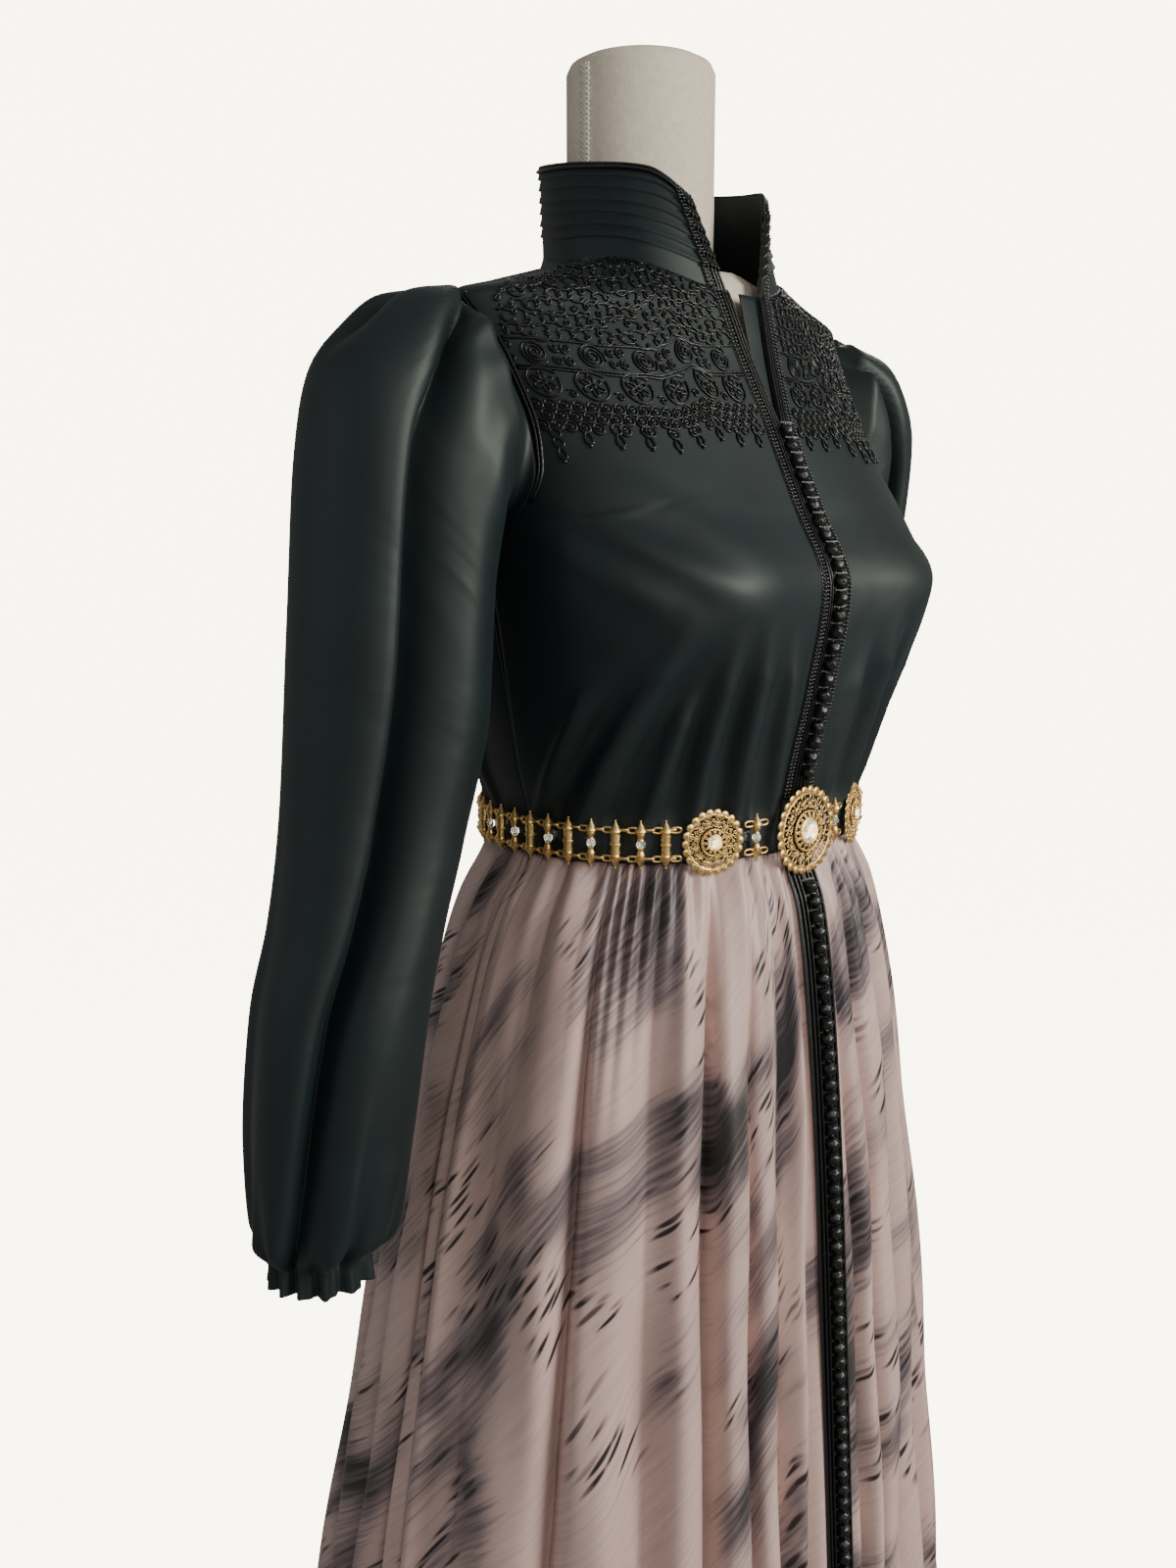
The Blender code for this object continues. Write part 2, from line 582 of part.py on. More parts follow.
def skirt_half(side, seed):
    trim = side == "front_y"
    count = FRONT_FOLDS * POINTS_PER_FOLD + 1
    column = np.arange(count)
    wave = fold_wave(count, seed)
    gather = np.where(column % 2 == 0, 1.0, -1.0)
    ends = np.minimum((count - 1 - column) / 2, 1.0)
    if trim:
        ends = np.minimum(ends, column / 2)
    rows = []
    for down in SKIRT_ROWS:
        dense = skirt_row(down, side)
        start = SKIRT_HALF_GAP if trim else 0.0
        whole = length_of(dense)
        places = np.linspace(start, whole, count)
        if trim:
            rest = np.linspace(start + SKIRT_BRAID_WIDTH, whole, count - 1)
            places = np.concatenate([[start], rest])
        drift = FOLD_DRIFT * (whole / count) * np.sin(1.7 * column / POINTS_PER_FOLD + seed) * ends
        points = along(dense, places + drift)
        flow = np.gradient(points, axis=0)
        out = unit(np.stack([flow[:, 1], -flow[:, 0], 0 * flow[:, 0]], axis=-1))
        out = out * np.sign((out * points).sum())
        out[-1] = (-1, 0, 0)
        reach = skirt("fold", down) * wave + skirt("gather", down) * gather
        if trim:
            reach[:2] = 0
        reach[-1] = 0
        rows.append(points + (reach[:, None] * out))
    return np.array(rows)


def make_skirt():
    front = skirt_half("front_y", 0.6)
    other = skirt_half("front_y", 2.1)
    half, other_half = skirt_half("back_y", 1.3), skirt_half("back_y", 3.0)
    shift = np.array([0, SEAM_GAP / 2, 0])

    def solid(name, points, normal):
        wall(name, points, points - CLOTH * normal, "satin_print")

    def front_panel(points):
        normal = outward(points, 0.0)
        normal[:, -1, 1] = 0
        normal[:, 0, 0] = 0
        normal[0, :, 2] = 0
        points = points.copy()
        points[:, -1] -= shift
        return points, unit(normal)

    right, right_out = front_panel(front)
    left, left_out = front_panel(other)
    solid("skirt_front_right", right, right_out)
    solid("skirt_front_left", mirrored(left), mirrored(left_out))
    back = np.concatenate([half[:, :0:-1], mirrored(other_half)], axis=1)
    back_out = outward(back, 0.0)
    back_out[:, (0, -1), 1] = 0
    back_out[0, :, 2] = 0
    back_out = unit(back_out)
    back[:, (0, -1)] += shift
    solid("skirt_back", back, back_out)
    near = right[:, :2] + LAYER_GAP * right_out[:, :2]
    far = near + BRAID_THICKNESS * right_out[:, :2]
    wall("braid_skirt_right", far, near, "cord_black")
    near = mirrored(left[:, :2] + LAYER_GAP * left_out[:, :2])
    far = near + BRAID_THICKNESS * mirrored(left_out[:, :2])
    wall("braid_skirt_left", far, near, "cord_black")
    return right, right_out


def button_line(points, normal, low_up, high_up):
    """The centre front line of a panel between two heights, with the panel's normals."""
    centre, lean = points[:, 0] * [0, 1, 1], normal[:, 0] * [0, 1, 1]
    order = np.argsort(centre[:, 2])
    centre, lean = centre[order], lean[order]
    inside = (centre[:, 2] > low_up) & (centre[:, 2] < high_up)
    heights = np.concatenate([[low_up], centre[inside, 2], [high_up]])
    line = np.stack([0 * heights, np.interp(heights, centre[:, 2], centre[:, 1]), heights], axis=-1)
    out = np.stack([np.interp(heights, centre[:, 2], lean[:, k]) for k in range(3)], axis=-1)
    return line, out


# Sleeves

def sleeve_ring(row, ring):
    values = dict(zip(SLEEVE_COLUMNS, row))
    inner = np.array([values["in_x"], 0, values["in_up"]])
    outer = np.array([values["out_x"], 0, values["out_up"]])
    turn = 2 * math.pi * np.arange(SLEEVE_POINTS) / SLEEVE_POINTS
    degrees = np.degrees(turn)
    reach = (outer - inner) / 2
    size = np.linalg.norm(reach)
    shape = np.ones(SLEEVE_POINTS)
    gap = (degrees - values["fold_at"]) / SLEEVE_FOLD_SPREAD
    shape -= SLEEVE_FOLD_DEPTH / size * np.exp(-gap ** 2) * min(1.0, ring / 3)
    beside = (degrees - values["fold_at"] - 2 * SLEEVE_FOLD_SPREAD) / SLEEVE_FOLD_SPREAD
    shape += 0.5 * SLEEVE_FOLD_DEPTH / size * np.exp(-beside ** 2) * min(1.0, ring / 3)
    if ring <= HEAD_PLEAT_RINGS:
        head = np.clip(-np.cos(turn), 0, 1)
        shape += HEAD_PLEAT_DEPTH / size * head * np.cos(HEAD_PLEATS * turn + math.pi)
    last = len(SLEEVE_RINGS) - 1
    zigzag = np.where(np.arange(SLEEVE_POINTS) % 2 == 0, 1.0, -1.0)
    if ring >= last - 1:
        shape += (CUFF_RUFFLE if ring == last else CUFF_GATHER) / size * zigzag
    middle = (inner + outer) / 2 + np.array([0, values["mid_y"], 0])
    side = np.array([0, -values["half_depth"], 0])
    along_out = -np.cos(turn) * shape
    along_front = np.sin(turn) * shape
    return middle + along_out[:, None] * reach + along_front[:, None] * side


def sleeve_lining(points):
    """The inner side of a sleeve's cloth, square to the armhole at its head."""
    wrapped = np.concatenate([points[:, -1:], points, points[:, :1]], axis=1)
    across = np.gradient(wrapped, axis=1)[:, 1:-1]
    normal = unit(np.cross(across, np.gradient(points, axis=0)))
    normal = normal * np.sign((normal * (points - points.mean(axis=1, keepdims=True))).sum())
    normal[0, :, 0] = 0
    return points - CLOTH * unit(normal)


def make_sleeves(front, half):
    """Each sleeve starts on the armhole edge and hangs from it to a gathered wrist."""
    rows = slice(ARMPIT_ROW, len(BODICE_ROWS))
    loop = mirrored(np.concatenate([front[rows, -1], half[rows, -1][::-1]]))
    places = np.linspace(0, length_of(loop), SLEEVE_POINTS, endpoint=False)
    head = along(loop, places) + np.array([HEAD_CLEARANCE, 0, 0])
    points = np.array([head] + [sleeve_ring(row, k) for k, row in enumerate(SLEEVE_RINGS)])
    swung = points.copy()
    swung[1:, :, 1] += read(LEFT_SWING, SWING_COLUMNS, "back", points[1:, :, 2])
    wall("sleeve_right", mirrored(points), mirrored(sleeve_lining(points)), "satin_dark", closed=True)
    wall("sleeve_left", swung, sleeve_lining(swung), "satin_dark", closed=True)


# Belt

def belt_line():
    """The waist's outline at the belt, once round from the centre front by the right side."""
    x = bodice("half_width", 0.0) * np.sin(np.linspace(0, math.pi / 2, DENSE))
    flat = np.zeros_like(x)
    front = np.stack([-x, plain_depth(x, "front_y"), flat], axis=-1)
    back = np.stack([-x, plain_depth(x, "back_y"), flat], axis=-1)
    right = np.concatenate([front, back[:-1][::-1]])
    return np.concatenate([right, mirrored(right[:-1][::-1])])


def plain_depth(x, side):
    side_y, reach, square = bodice("side_y", 0.0), bodice(side, 0.0), bodice("square", 0.0)
    share = np.clip(x / bodice("half_width", 0.0), 0, 1)
    return side_y + (reach - side_y) * (1 - share ** square) ** (1 / square)


def belt_place(arc):
    """Points of the belt line and their outward directions, at distances from the front."""
    line = belt_line()
    whole = length_of(line)
    point = along(line, np.mod(arc, whole))
    step = along(line, np.mod(arc + 0.002, whole)) - along(line, np.mod(arc - 0.002, whole))
    out = unit(np.stack([-step[..., 1], step[..., 0], 0 * step[..., 0]], axis=-1))
    middle = np.array([0.0, bodice("side_y", 0.0), 0.0])
    return point, out * np.sign((out * (point - middle)).sum(axis=-1, keepdims=True))


def chain(name, start, end, spindles, stand_off):
    """A stretch of belt: upright spindles on an upper and a lower rail, open between them."""
    pitch = (end - start) / spindles
    centres = start + (np.arange(spindles) + 0.5) * pitch
    sides = np.repeat(centres, 2) + SPINDLE_HALF_WIDTH * np.tile([-1.0, 1.0], spindles)
    tips = np.repeat(centres, 2) + SPINDLE_TIP_HALF_WIDTH * np.tile([-1.0, 1.0], spindles)
    last = len(BELT_ROWS) - 1
    outer, inner = [], []
    for row, values in enumerate(BELT_ROWS):
        up, bulge = (values[BELT_COLUMNS.index(column)] for column in ("up", "bulge"))
        arcs = np.concatenate([[start], tips if row in (0, last) else sides, [end]])
        point, out = belt_place(arcs)
        raised = np.concatenate([[0.0], np.full(2 * spindles, bulge), [0.0]])
        inner.append(point + stand_off * out + [0, 0, up])
        outer.append(inner[-1] + (BELT_PLATE + raised)[:, None] * out)
    holes = {
        (row, column)
        for row in range(last)
        for column in range(0, 2 * spindles + 1, 2)
        if row not in RAIL_CELLS
    }
    wall(name, np.array(outer), np.array(inner), "gilt", holes=holes)


def make_medallion(name, arc, radius, stone_radius, low):
    """A scalloped round plaque whose middle stands up under a cut stone."""
    point, out = belt_place(np.array([arc]))
    point, out = point[0], out[0]
    sideways = unit(np.cross(out, np.array([0.0, 0.0, 1.0])))
    upright = np.array([0.0, 0.0, 1.0])

    def loop(size, depth, count, scallop=0.0):
        ring = []
        for k in range(count):
            turn = 2 * math.pi * k / count
            reach = size - (scallop if k % 2 else 0.0)
            flat = math.cos(turn) * sideways + math.sin(turn) * upright
            ring.append(point + reach * flat + depth * out)
        return ring

    count = 2 * SCALLOPS
    loft(name, [
        loop(radius, low, count, SCALLOP_DEPTH),
        loop(radius, low + MEDALLION_RIM, count, SCALLOP_DEPTH),
        loop(0.72 * radius, low + 0.8 * MEDALLION_RIM, count),
        loop(stone_radius, low + MEDALLION_RISE, count),
    ], "gilt")
    seat = low + MEDALLION_RISE + LAYER_GAP
    loft(name.replace("medallion", "stone"), [
        loop(0.90 * stone_radius, seat, STONE_SIDES),
        loop(0.96 * stone_radius, seat + 0.35 * STONE_RISE, STONE_SIDES),
        loop(0.50 * stone_radius, seat + STONE_RISE, STONE_SIDES),
    ], "crystal")


def make_belt():
    whole = length_of(belt_line())
    medallions = [dict(zip(MEDALLION_COLUMNS, row)) for row in MEDALLIONS]
    large, small = (row["radius"] + MEDALLION_GAP for row in medallions[:2])
    near, far = large, SMALL_MEDALLION_ARC - small
    chain("belt_link_right", near, far, 1, LINK_STAND_OFF)
    chain("belt_link_left", whole - far, whole - near, 1, LINK_STAND_OFF)
    first = SMALL_MEDALLION_ARC + small
    middle = whole / 2
    count = round((middle - first) / SPINDLE_PITCH)
    chain("belt_chain_right", first, middle - LAYER_GAP, count, BELT_STAND_OFF)
    chain("belt_chain_left", middle + LAYER_GAP, whole - first, count, BELT_STAND_OFF)
    for row in medallions:
        make_medallion(**row)


# Dress form

def make_form():
    rings = []
    turn = 2 * math.pi * np.arange(FORM_POINTS) / FORM_POINTS
    for row in FORM_SECTIONS:
        values = dict(zip(FORM_COLUMNS, row))
        power = 2 / values["square"]
        x = values["half_width"] * np.sign(np.sin(turn)) * np.abs(np.sin(turn)) ** power
        cosine = np.cos(turn)
        reach = np.where(cosine > 0, values["front_y"], values["back_y"]) - values["side_y"]
        y = values["side_y"] + reach * np.abs(cosine) ** power
        rings.append(np.stack([x, y, np.full_like(x, values["up"])], axis=-1))
    loft("form_torso", rings, "linen")

    turned("form_neck", (
        (0.0, NECK_TOP_UP), (0.60 * NECK_RADIUS, NECK_TOP_UP),
        (0.90 * NECK_RADIUS, NECK_TOP_UP - 0.003), (NECK_RADIUS, NECK_TOP_UP - 0.010),
        (NECK_RADIUS, NECK_FOOT_UP + 0.020), (1.03 * NECK_RADIUS, NECK_FOOT_UP),
        (0.0, NECK_FOOT_UP),
    ), "linen", NECK_MIDDLE_Y)
    floor = -WAIST_Z
    low, high = floor + BASE_THICKNESS + LAYER_GAP, FORM_SECTIONS[0][0] - LAYER_GAP
    bm = bmesh.new()
    bmesh.ops.create_cone(
        bm, cap_ends=True, segments=TURNED_STEPS, radius1=POLE_RADIUS, radius2=POLE_RADIUS,
        depth=high - low, matrix=Matrix.Translation((0, 0, (low + high) / 2)),
    )
    keep("form_pole", bm, "pole_steel")
    turned("form_base", (
        (0.0, floor + BASE_THICKNESS), (0.20 * BASE_RADIUS, floor + BASE_THICKNESS),
        (0.86 * BASE_RADIUS, floor + 0.75 * BASE_THICKNESS), (BASE_RADIUS, floor + BASE_RIM),
        (BASE_RADIUS, floor), (0.0, floor),
    ), "base_paint")


def main():
    for thing in list(bpy.data.objects):
        bpy.data.objects.remove(thing, do_unlink=True)
    group = bpy.data.collections.new("kaftan_on_dress_form")
    bpy.context.scene.collection.children.link(group)
    front, front_out, half, half_out = make_bodice()
    make_yoke_embroidery(front, front_out)
    make_armhole_cords(front, front_out)
    collar, collar_out = make_collar(front, half)
    make_front_braids(front, front_out, collar, collar_out)
    line, out = button_line(front, front_out, BELT_CLEARANCE, TOP_BUTTON_UP)
    knotted_strip("buttons_bodice", line, out, "cord_black")
    right, right_out = make_skirt()
    line, out = button_line(right, right_out, LOWEST_BUTTON_RISE - HEM_DOWN, -BELT_CLEARANCE)
    knotted_strip("buttons_skirt", line, out, "cord_black")
    make_sleeves(front, half)
    make_belt()
    make_form()


main()
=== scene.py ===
# %% [markdown]
# # A gathered kaftan on a dress form
#
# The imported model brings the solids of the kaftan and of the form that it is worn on.
# This lesson dresses them: satin panels with soft folds, cord embroidery, knotted buttons
# and a gilt filigree belt. Every length is in metres, +Z is up and the front faces -Y.

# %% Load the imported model
import math

import bmesh
import bpy
import numpy as np
from mathutils import Matrix, Vector


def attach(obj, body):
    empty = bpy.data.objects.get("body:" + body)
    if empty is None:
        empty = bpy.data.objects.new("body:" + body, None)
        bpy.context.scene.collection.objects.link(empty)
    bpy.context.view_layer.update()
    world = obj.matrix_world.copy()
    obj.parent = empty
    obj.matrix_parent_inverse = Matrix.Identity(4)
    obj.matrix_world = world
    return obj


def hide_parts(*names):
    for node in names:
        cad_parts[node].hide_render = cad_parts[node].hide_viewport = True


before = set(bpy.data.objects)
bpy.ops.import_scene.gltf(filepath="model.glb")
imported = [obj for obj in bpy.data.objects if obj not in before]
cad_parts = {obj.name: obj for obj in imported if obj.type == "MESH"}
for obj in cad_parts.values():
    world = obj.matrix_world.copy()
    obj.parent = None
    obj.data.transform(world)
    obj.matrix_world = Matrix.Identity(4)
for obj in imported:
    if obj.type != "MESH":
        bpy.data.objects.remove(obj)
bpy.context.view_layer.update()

print(len(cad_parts), "solids in the frame")

# %% [markdown]
# ## Colours and nodes
#
# Cloth colours are easiest to judge as sRGB hex values, but a shader works in linear
# light. One function turns the first into the second. Another adds a node with its
# settings and links, so that each finish below reads as a list of what it is made of.

# %% Colours and nodes
def linear(hex_colour):
    """An sRGB hex colour as the linear red, green, blue and alpha that a shader takes."""
    parts = [int(hex_colour[k:k + 2], 16) / 255 for k in (1, 3, 5)]
    parts = [p / 12.92 if p <= 0.04045 else ((p + 0.055) / 1.055) ** 2.4 for p in parts]
    return (*parts, 1.0)


def add_node(tree, kind, inputs=(), **settings):
    """A new node with its settings, its values and the links that come into it."""
    node = tree.nodes.new(kind)
    for name, value in settings.items():
        setattr(node, name, value)
    for socket, value in dict(inputs).items():
        if isinstance(value, bpy.types.NodeSocket):
            tree.links.new(value, node.inputs[socket])
        else:
            node.inputs[socket].default_value = value
    return node


def new_finish(name, values):
    """A material with its Principled shader's own values set."""
    made = bpy.data.materials.new(name)
    made.use_nodes = True
    shader = made.node_tree.nodes["Principled BSDF"]
    for socket, value in values.items():
        shader.inputs[socket].default_value = value
    return made, made.node_tree, shader


MM = 0.001
print("bottle green is", [round(part, 4) for part in linear("#101b1c")[:3]])

# %% [markdown]
# ## The camera
#
# The photograph looks at the wearer's right front, a little from above. The camera stands
# 1.1 m from the belt line, turned by 0.76 radians, and tips down by 0.17 radians. The
# camera comes first, because every later choice of detail is judged through it.

# %% The camera
BELT_Z = 1.040
CAMERA_TURN, CAMERA_TIP, CAMERA_DISTANCE = 0.76, 0.17, 1.0965
CAMERA_SIDE, CAMERA_RISE, FOCAL_PIXELS, PICTURE_HEIGHT = -0.0533, 0.203, 1501.5, 1600

view_level = Vector((math.sin(CAMERA_TURN), math.cos(CAMERA_TURN), 0))
view_right = Vector((math.cos(CAMERA_TURN), -math.sin(CAMERA_TURN), 0))
lens = bpy.data.cameras.new("camera")
lens.sensor_width = 36
lens.lens = FOCAL_PIXELS / PICTURE_HEIGHT * lens.sensor_width
lens.clip_start, lens.clip_end = 0.05, 60
camera = bpy.data.objects.new("camera", lens)
camera.location = (
    -CAMERA_DISTANCE * view_level + CAMERA_SIDE * view_right + Vector((0, 0, BELT_Z + CAMERA_RISE))
)
camera.rotation_euler = (math.pi / 2 - CAMERA_TIP, 0, -CAMERA_TURN)
bpy.context.scene.collection.objects.link(camera)
bpy.context.scene.camera = camera
print("camera at", [round(part, 3) for part in camera.location])

# %% [markdown]
# ## The satin of the bodice
#
# Satin is woven with long floating threads, so it has a broad, soft gloss instead of a
# sharp one. Here it is polyester satin in a bottle green that is nearly black. A middling
# roughness gives the broad gloss and a grey-green sheen lifts the edges of the folds. The
# threads are about 0.2 mm apart, too fine to show, so the weave is drawn at 0.7 mm.

# %% Dark satin
satin_dark, tree, shader = new_finish("bottle green polyester satin", {
    "Roughness": 0.56, "Specular IOR Level": 0.74, "Specular Tint": linear("#e3ebe3"),
    "Sheen Weight": 0.07, "Sheen Roughness": 0.4, "Sheen Tint": linear("#7f9aa0"),
})
coords = add_node(tree, "ShaderNodeUVMap", uv_map="cloth")
stretched = add_node(tree, "ShaderNodeMapping", {
    "Vector": coords.outputs["UV"], "Scale": (1 / (0.7 * MM), 1 / (2.4 * MM), 1),
})
weave = add_node(tree, "ShaderNodeTexNoise", {
    "Vector": stretched.outputs["Vector"], "Scale": 1.0, "Detail": 2.0,
})
broad = add_node(tree, "ShaderNodeTexNoise", {
    "Vector": coords.outputs["UV"], "Scale": 14.0, "Detail": 2.0,
})
add_node(tree, "ShaderNodeMix", {
    0: broad.outputs["Fac"], 6: linear("#050f13"), 7: linear("#0a1a20"),
}, data_type="RGBA").name = "green"
tree.links.new(tree.nodes["green"].outputs[2], shader.inputs["Base Color"])
soft = add_node(tree, "ShaderNodeTexNoise", {
    "Vector": coords.outputs["UV"], "Scale": 1 / (75 * MM), "Detail": 2.0, "Roughness": 0.45,
    "Distortion": 0.6,
})
drape = add_node(tree, "ShaderNodeBump", {
    "Height": soft.outputs["Fac"], "Strength": 0.40, "Distance": 5.0 * MM,
})
relief = add_node(tree, "ShaderNodeBump", {
    "Height": weave.outputs["Fac"], "Strength": 0.10, "Distance": 0.2 * MM,
    "Normal": drape.outputs["Normal"],
})
tree.links.new(relief.outputs["Normal"], shader.inputs["Normal"])
print("made", satin_dark.name)

# %% [markdown]
# ## The printed satin of the skirt
#
# The skirt's satin is dusty rose, printed with soft brushed patches and with short dark
# strokes. The pattern here is a layout of its own. Broad noise decides where a patch lies,
# and fine streaks, 2 to 3 mm apart, feather its edge as a dry brush does. The strokes
# are the cells of a Voronoi pattern, stretched to 50 by 6 mm and kept only in clusters.

# %% Printed satin
satin_print, tree, shader = new_finish("printed rose polyester satin", {
    "Roughness": 0.44, "Specular IOR Level": 0.45, "Sheen Weight": 0.08, "Sheen Roughness": 0.5,
    "Sheen Tint": linear("#e8d3c8"),
})
coords = add_node(tree, "ShaderNodeUVMap", uv_map="cloth")
bend = add_node(tree, "ShaderNodeTexNoise", {
    "Vector": coords.outputs["UV"], "Scale": 3.6, "Detail": 0.5,
})
centred = add_node(tree, "ShaderNodeVectorMath", {
    0: bend.outputs["Color"], 1: (0.5, 0.5, 0.5),
}, operation="SUBTRACT")
warped = add_node(tree, "ShaderNodeVectorMath", {
    0: centred.outputs[0], 1: (0.13, 0.13, 0.0), 2: coords.outputs["UV"],
}, operation="MULTIPLY_ADD")
brushed = add_node(tree, "ShaderNodeMapping", {
    "Vector": warped.outputs[0], "Rotation": (0, 0, math.radians(-40)),
    "Scale": (70 * MM, 3.2 * MM, 1),
}, vector_type="TEXTURE")
streaks = add_node(tree, "ShaderNodeTexNoise", {
    "Vector": brushed.outputs["Vector"], "Scale": 1.0, "Detail": 3.0, "Roughness": 0.55,
})
swept = add_node(tree, "ShaderNodeMapping", {
    "Vector": warped.outputs[0], "Rotation": (0, 0, math.radians(-50)),
    "Scale": (190 * MM, 95 * MM, 1),
}, vector_type="TEXTURE")
patches = add_node(tree, "ShaderNodeTexNoise", {
    "Vector": swept.outputs["Vector"], "Scale": 1.0, "Detail": 2.0, "Roughness": 0.5,
})
feathered = add_node(tree, "ShaderNodeMath", {
    0: streaks.outputs["Fac"], 1: 0.27, 2: patches.outputs["Fac"],
}, operation="MULTIPLY_ADD")
light = add_node(tree, "ShaderNodeMix", {
    0: streaks.outputs["Fac"], 6: linear("#b3948d"), 7: linear("#dec3bb"),
}, data_type="RGBA")
taupe_mask = add_node(tree, "ShaderNodeMapRange", {
    "Value": feathered.outputs[0], "From Min": 0.60, "From Max": 0.74,
}, interpolation_type="SMOOTHSTEP")
taupe = add_node(tree, "ShaderNodeMix", {
    0: taupe_mask.outputs["Result"], 6: light.outputs[2], 7: linear("#7b6c6e"),
}, data_type="RGBA")
charcoal_mask = add_node(tree, "ShaderNodeMapRange", {
    "Value": feathered.outputs[0], "From Min": 0.715, "From Max": 0.82,
}, interpolation_type="SMOOTHSTEP")
shades = add_node(tree, "ShaderNodeTexNoise", {
    "Vector": coords.outputs["UV"], "Scale": 6.0, "Detail": 0.0,
})
deep = add_node(tree, "ShaderNodeMix", {
    0: shades.outputs["Fac"], 6: linear("#2f2c38"), 7: linear("#413f36"),
}, data_type="RGBA")
charcoal = add_node(tree, "ShaderNodeMix", {
    0: charcoal_mask.outputs["Result"], 6: taupe.outputs[2], 7: deep.outputs[2],
}, data_type="RGBA")
stroke_space = add_node(tree, "ShaderNodeMapping", {
    "Vector": warped.outputs[0], "Rotation": (0, 0, math.radians(-44)),
    "Scale": (50 * MM, 6.0 * MM, 1),
}, vector_type="TEXTURE")
cells = add_node(tree, "ShaderNodeTexVoronoi", {
    "Vector": stroke_space.outputs["Vector"], "Scale": 1.0, "Randomness": 1.0,
}, voronoi_dimensions="2D")
stroke_shape = add_node(tree, "ShaderNodeMapRange", {
    "Value": cells.outputs["Distance"], "From Min": 0.38, "From Max": 0.16,
}, interpolation_type="SMOOTHSTEP")
drawn = add_node(tree, "ShaderNodeMapRange", {
    "Value": cells.outputs["Color"], "From Min": 0.34, "From Max": 0.50,
})
some_strokes = add_node(tree, "ShaderNodeMath", {
    0: stroke_shape.outputs["Result"], 1: drawn.outputs["Result"],
}, operation="MULTIPLY")
clusters = add_node(tree, "ShaderNodeTexNoise", {
    "Vector": coords.outputs["UV"], "Scale": 7.5, "Detail": 1.0,
})
near_patch = add_node(tree, "ShaderNodeMath", {
    0: taupe_mask.outputs["Result"], 1: 0.09, 2: clusters.outputs["Fac"],
}, operation="MULTIPLY_ADD")
cluster_mask = add_node(tree, "ShaderNodeMapRange", {
    "Value": near_patch.outputs[0], "From Min": 0.545, "From Max": 0.60,
})
stroke_mask = add_node(tree, "ShaderNodeMath", {
    0: some_strokes.outputs[0], 1: cluster_mask.outputs["Result"],
}, operation="MULTIPLY")
printed = add_node(tree, "ShaderNodeMix", {
    0: stroke_mask.outputs[0], 6: charcoal.outputs[2], 7: linear("#2b2528"),
}, data_type="RGBA")
tree.links.new(printed.outputs[2], shader.inputs["Base Color"])
thread = add_node(tree, "ShaderNodeMapping", {
    "Vector": coords.outputs["UV"], "Scale": (1 / (0.8 * MM), 1 / (2.6 * MM), 1),
})
weave = add_node(tree, "ShaderNodeTexNoise", {
    "Vector": thread.outputs["Vector"], "Scale": 1.0, "Detail": 2.0,
})
relief = add_node(tree, "ShaderNodeBump", {
    "Height": weave.outputs["Fac"], "Strength": 0.10, "Distance": 0.2 * MM,
})
tree.links.new(relief.outputs["Normal"], shader.inputs["Normal"])
print("made", satin_print.name)

# %% [markdown]
# ## Cord, gilt, crystal and linen
#
# Soutache is a narrow rayon braid, matt black with a silky glint on its ribs. The belt is
# gilded brass: a metal with low roughness, a little darker where polish doesn't reach. Its
# stones are cut glass. The form is covered in plain linen with slubs every 5 mm or so.

# %% Cord finishes
soutache, tree, shader = new_finish("black rayon soutache", {
    "Roughness": 0.34, "Specular IOR Level": 0.6, "Sheen Weight": 0.06, "Sheen Roughness": 0.3,
    "Sheen Tint": linear("#9aa8a2"),
})
coords = add_node(tree, "ShaderNodeTexCoord")
ribs = add_node(tree, "ShaderNodeTexNoise", {
    "Vector": coords.outputs["Object"], "Scale": 1 / (0.9 * MM), "Detail": 1.0,
})
black = add_node(tree, "ShaderNodeMix", {
    0: ribs.outputs["Fac"], 6: linear("#040606"), 7: linear("#0e1313"),
}, data_type="RGBA")
tree.links.new(black.outputs[2], shader.inputs["Base Color"])
relief = add_node(tree, "ShaderNodeBump", {
    "Height": ribs.outputs["Fac"], "Strength": 0.5, "Distance": 0.4 * MM,
})
tree.links.new(relief.outputs["Normal"], shader.inputs["Normal"])

glint_cord, tree, shader = new_finish("black rayon chain stitch", {
    "Roughness": 0.24, "Specular IOR Level": 0.9, "Base Color": linear("#161c1b"),
    "Sheen Weight": 0.12, "Sheen Roughness": 0.3, "Sheen Tint": linear("#aeb9b2"),
})
# Painted highlight: this pale grey stands in for the glints on the dark glossy rungs between the
# knots.
painted_glint_thread, tree, shader = new_finish("grey thread with painted glints", {
    "Roughness": 0.35, "Specular IOR Level": 0.7, "Base Color": linear("#7c8480"),
    "Sheen Weight": 0.15, "Sheen Roughness": 0.3,
})
print("made", soutache.name, glint_cord.name, "and", painted_glint_thread.name)

# %% Gilt, crystal and linen
gilt, tree, shader = new_finish("gilded brass", {"Metallic": 1.0, "Roughness": 0.38})
coords = add_node(tree, "ShaderNodeTexCoord")
polish = add_node(tree, "ShaderNodeTexNoise", {
    "Vector": coords.outputs["Object"], "Scale": 1 / (4 * MM), "Detail": 2.0,
})
gold = add_node(tree, "ShaderNodeMix", {
    0: polish.outputs["Fac"], 6: linear("#e9b862"), 7: linear("#ffe4a6"),
}, data_type="RGBA")
tree.links.new(gold.outputs[2], shader.inputs["Base Color"])

crystal, tree, shader = new_finish("cut glass", {
    "Base Color": linear("#f4f6f7"), "Roughness": 0.03, "IOR": 1.54, "Transmission Weight": 0.85,
})

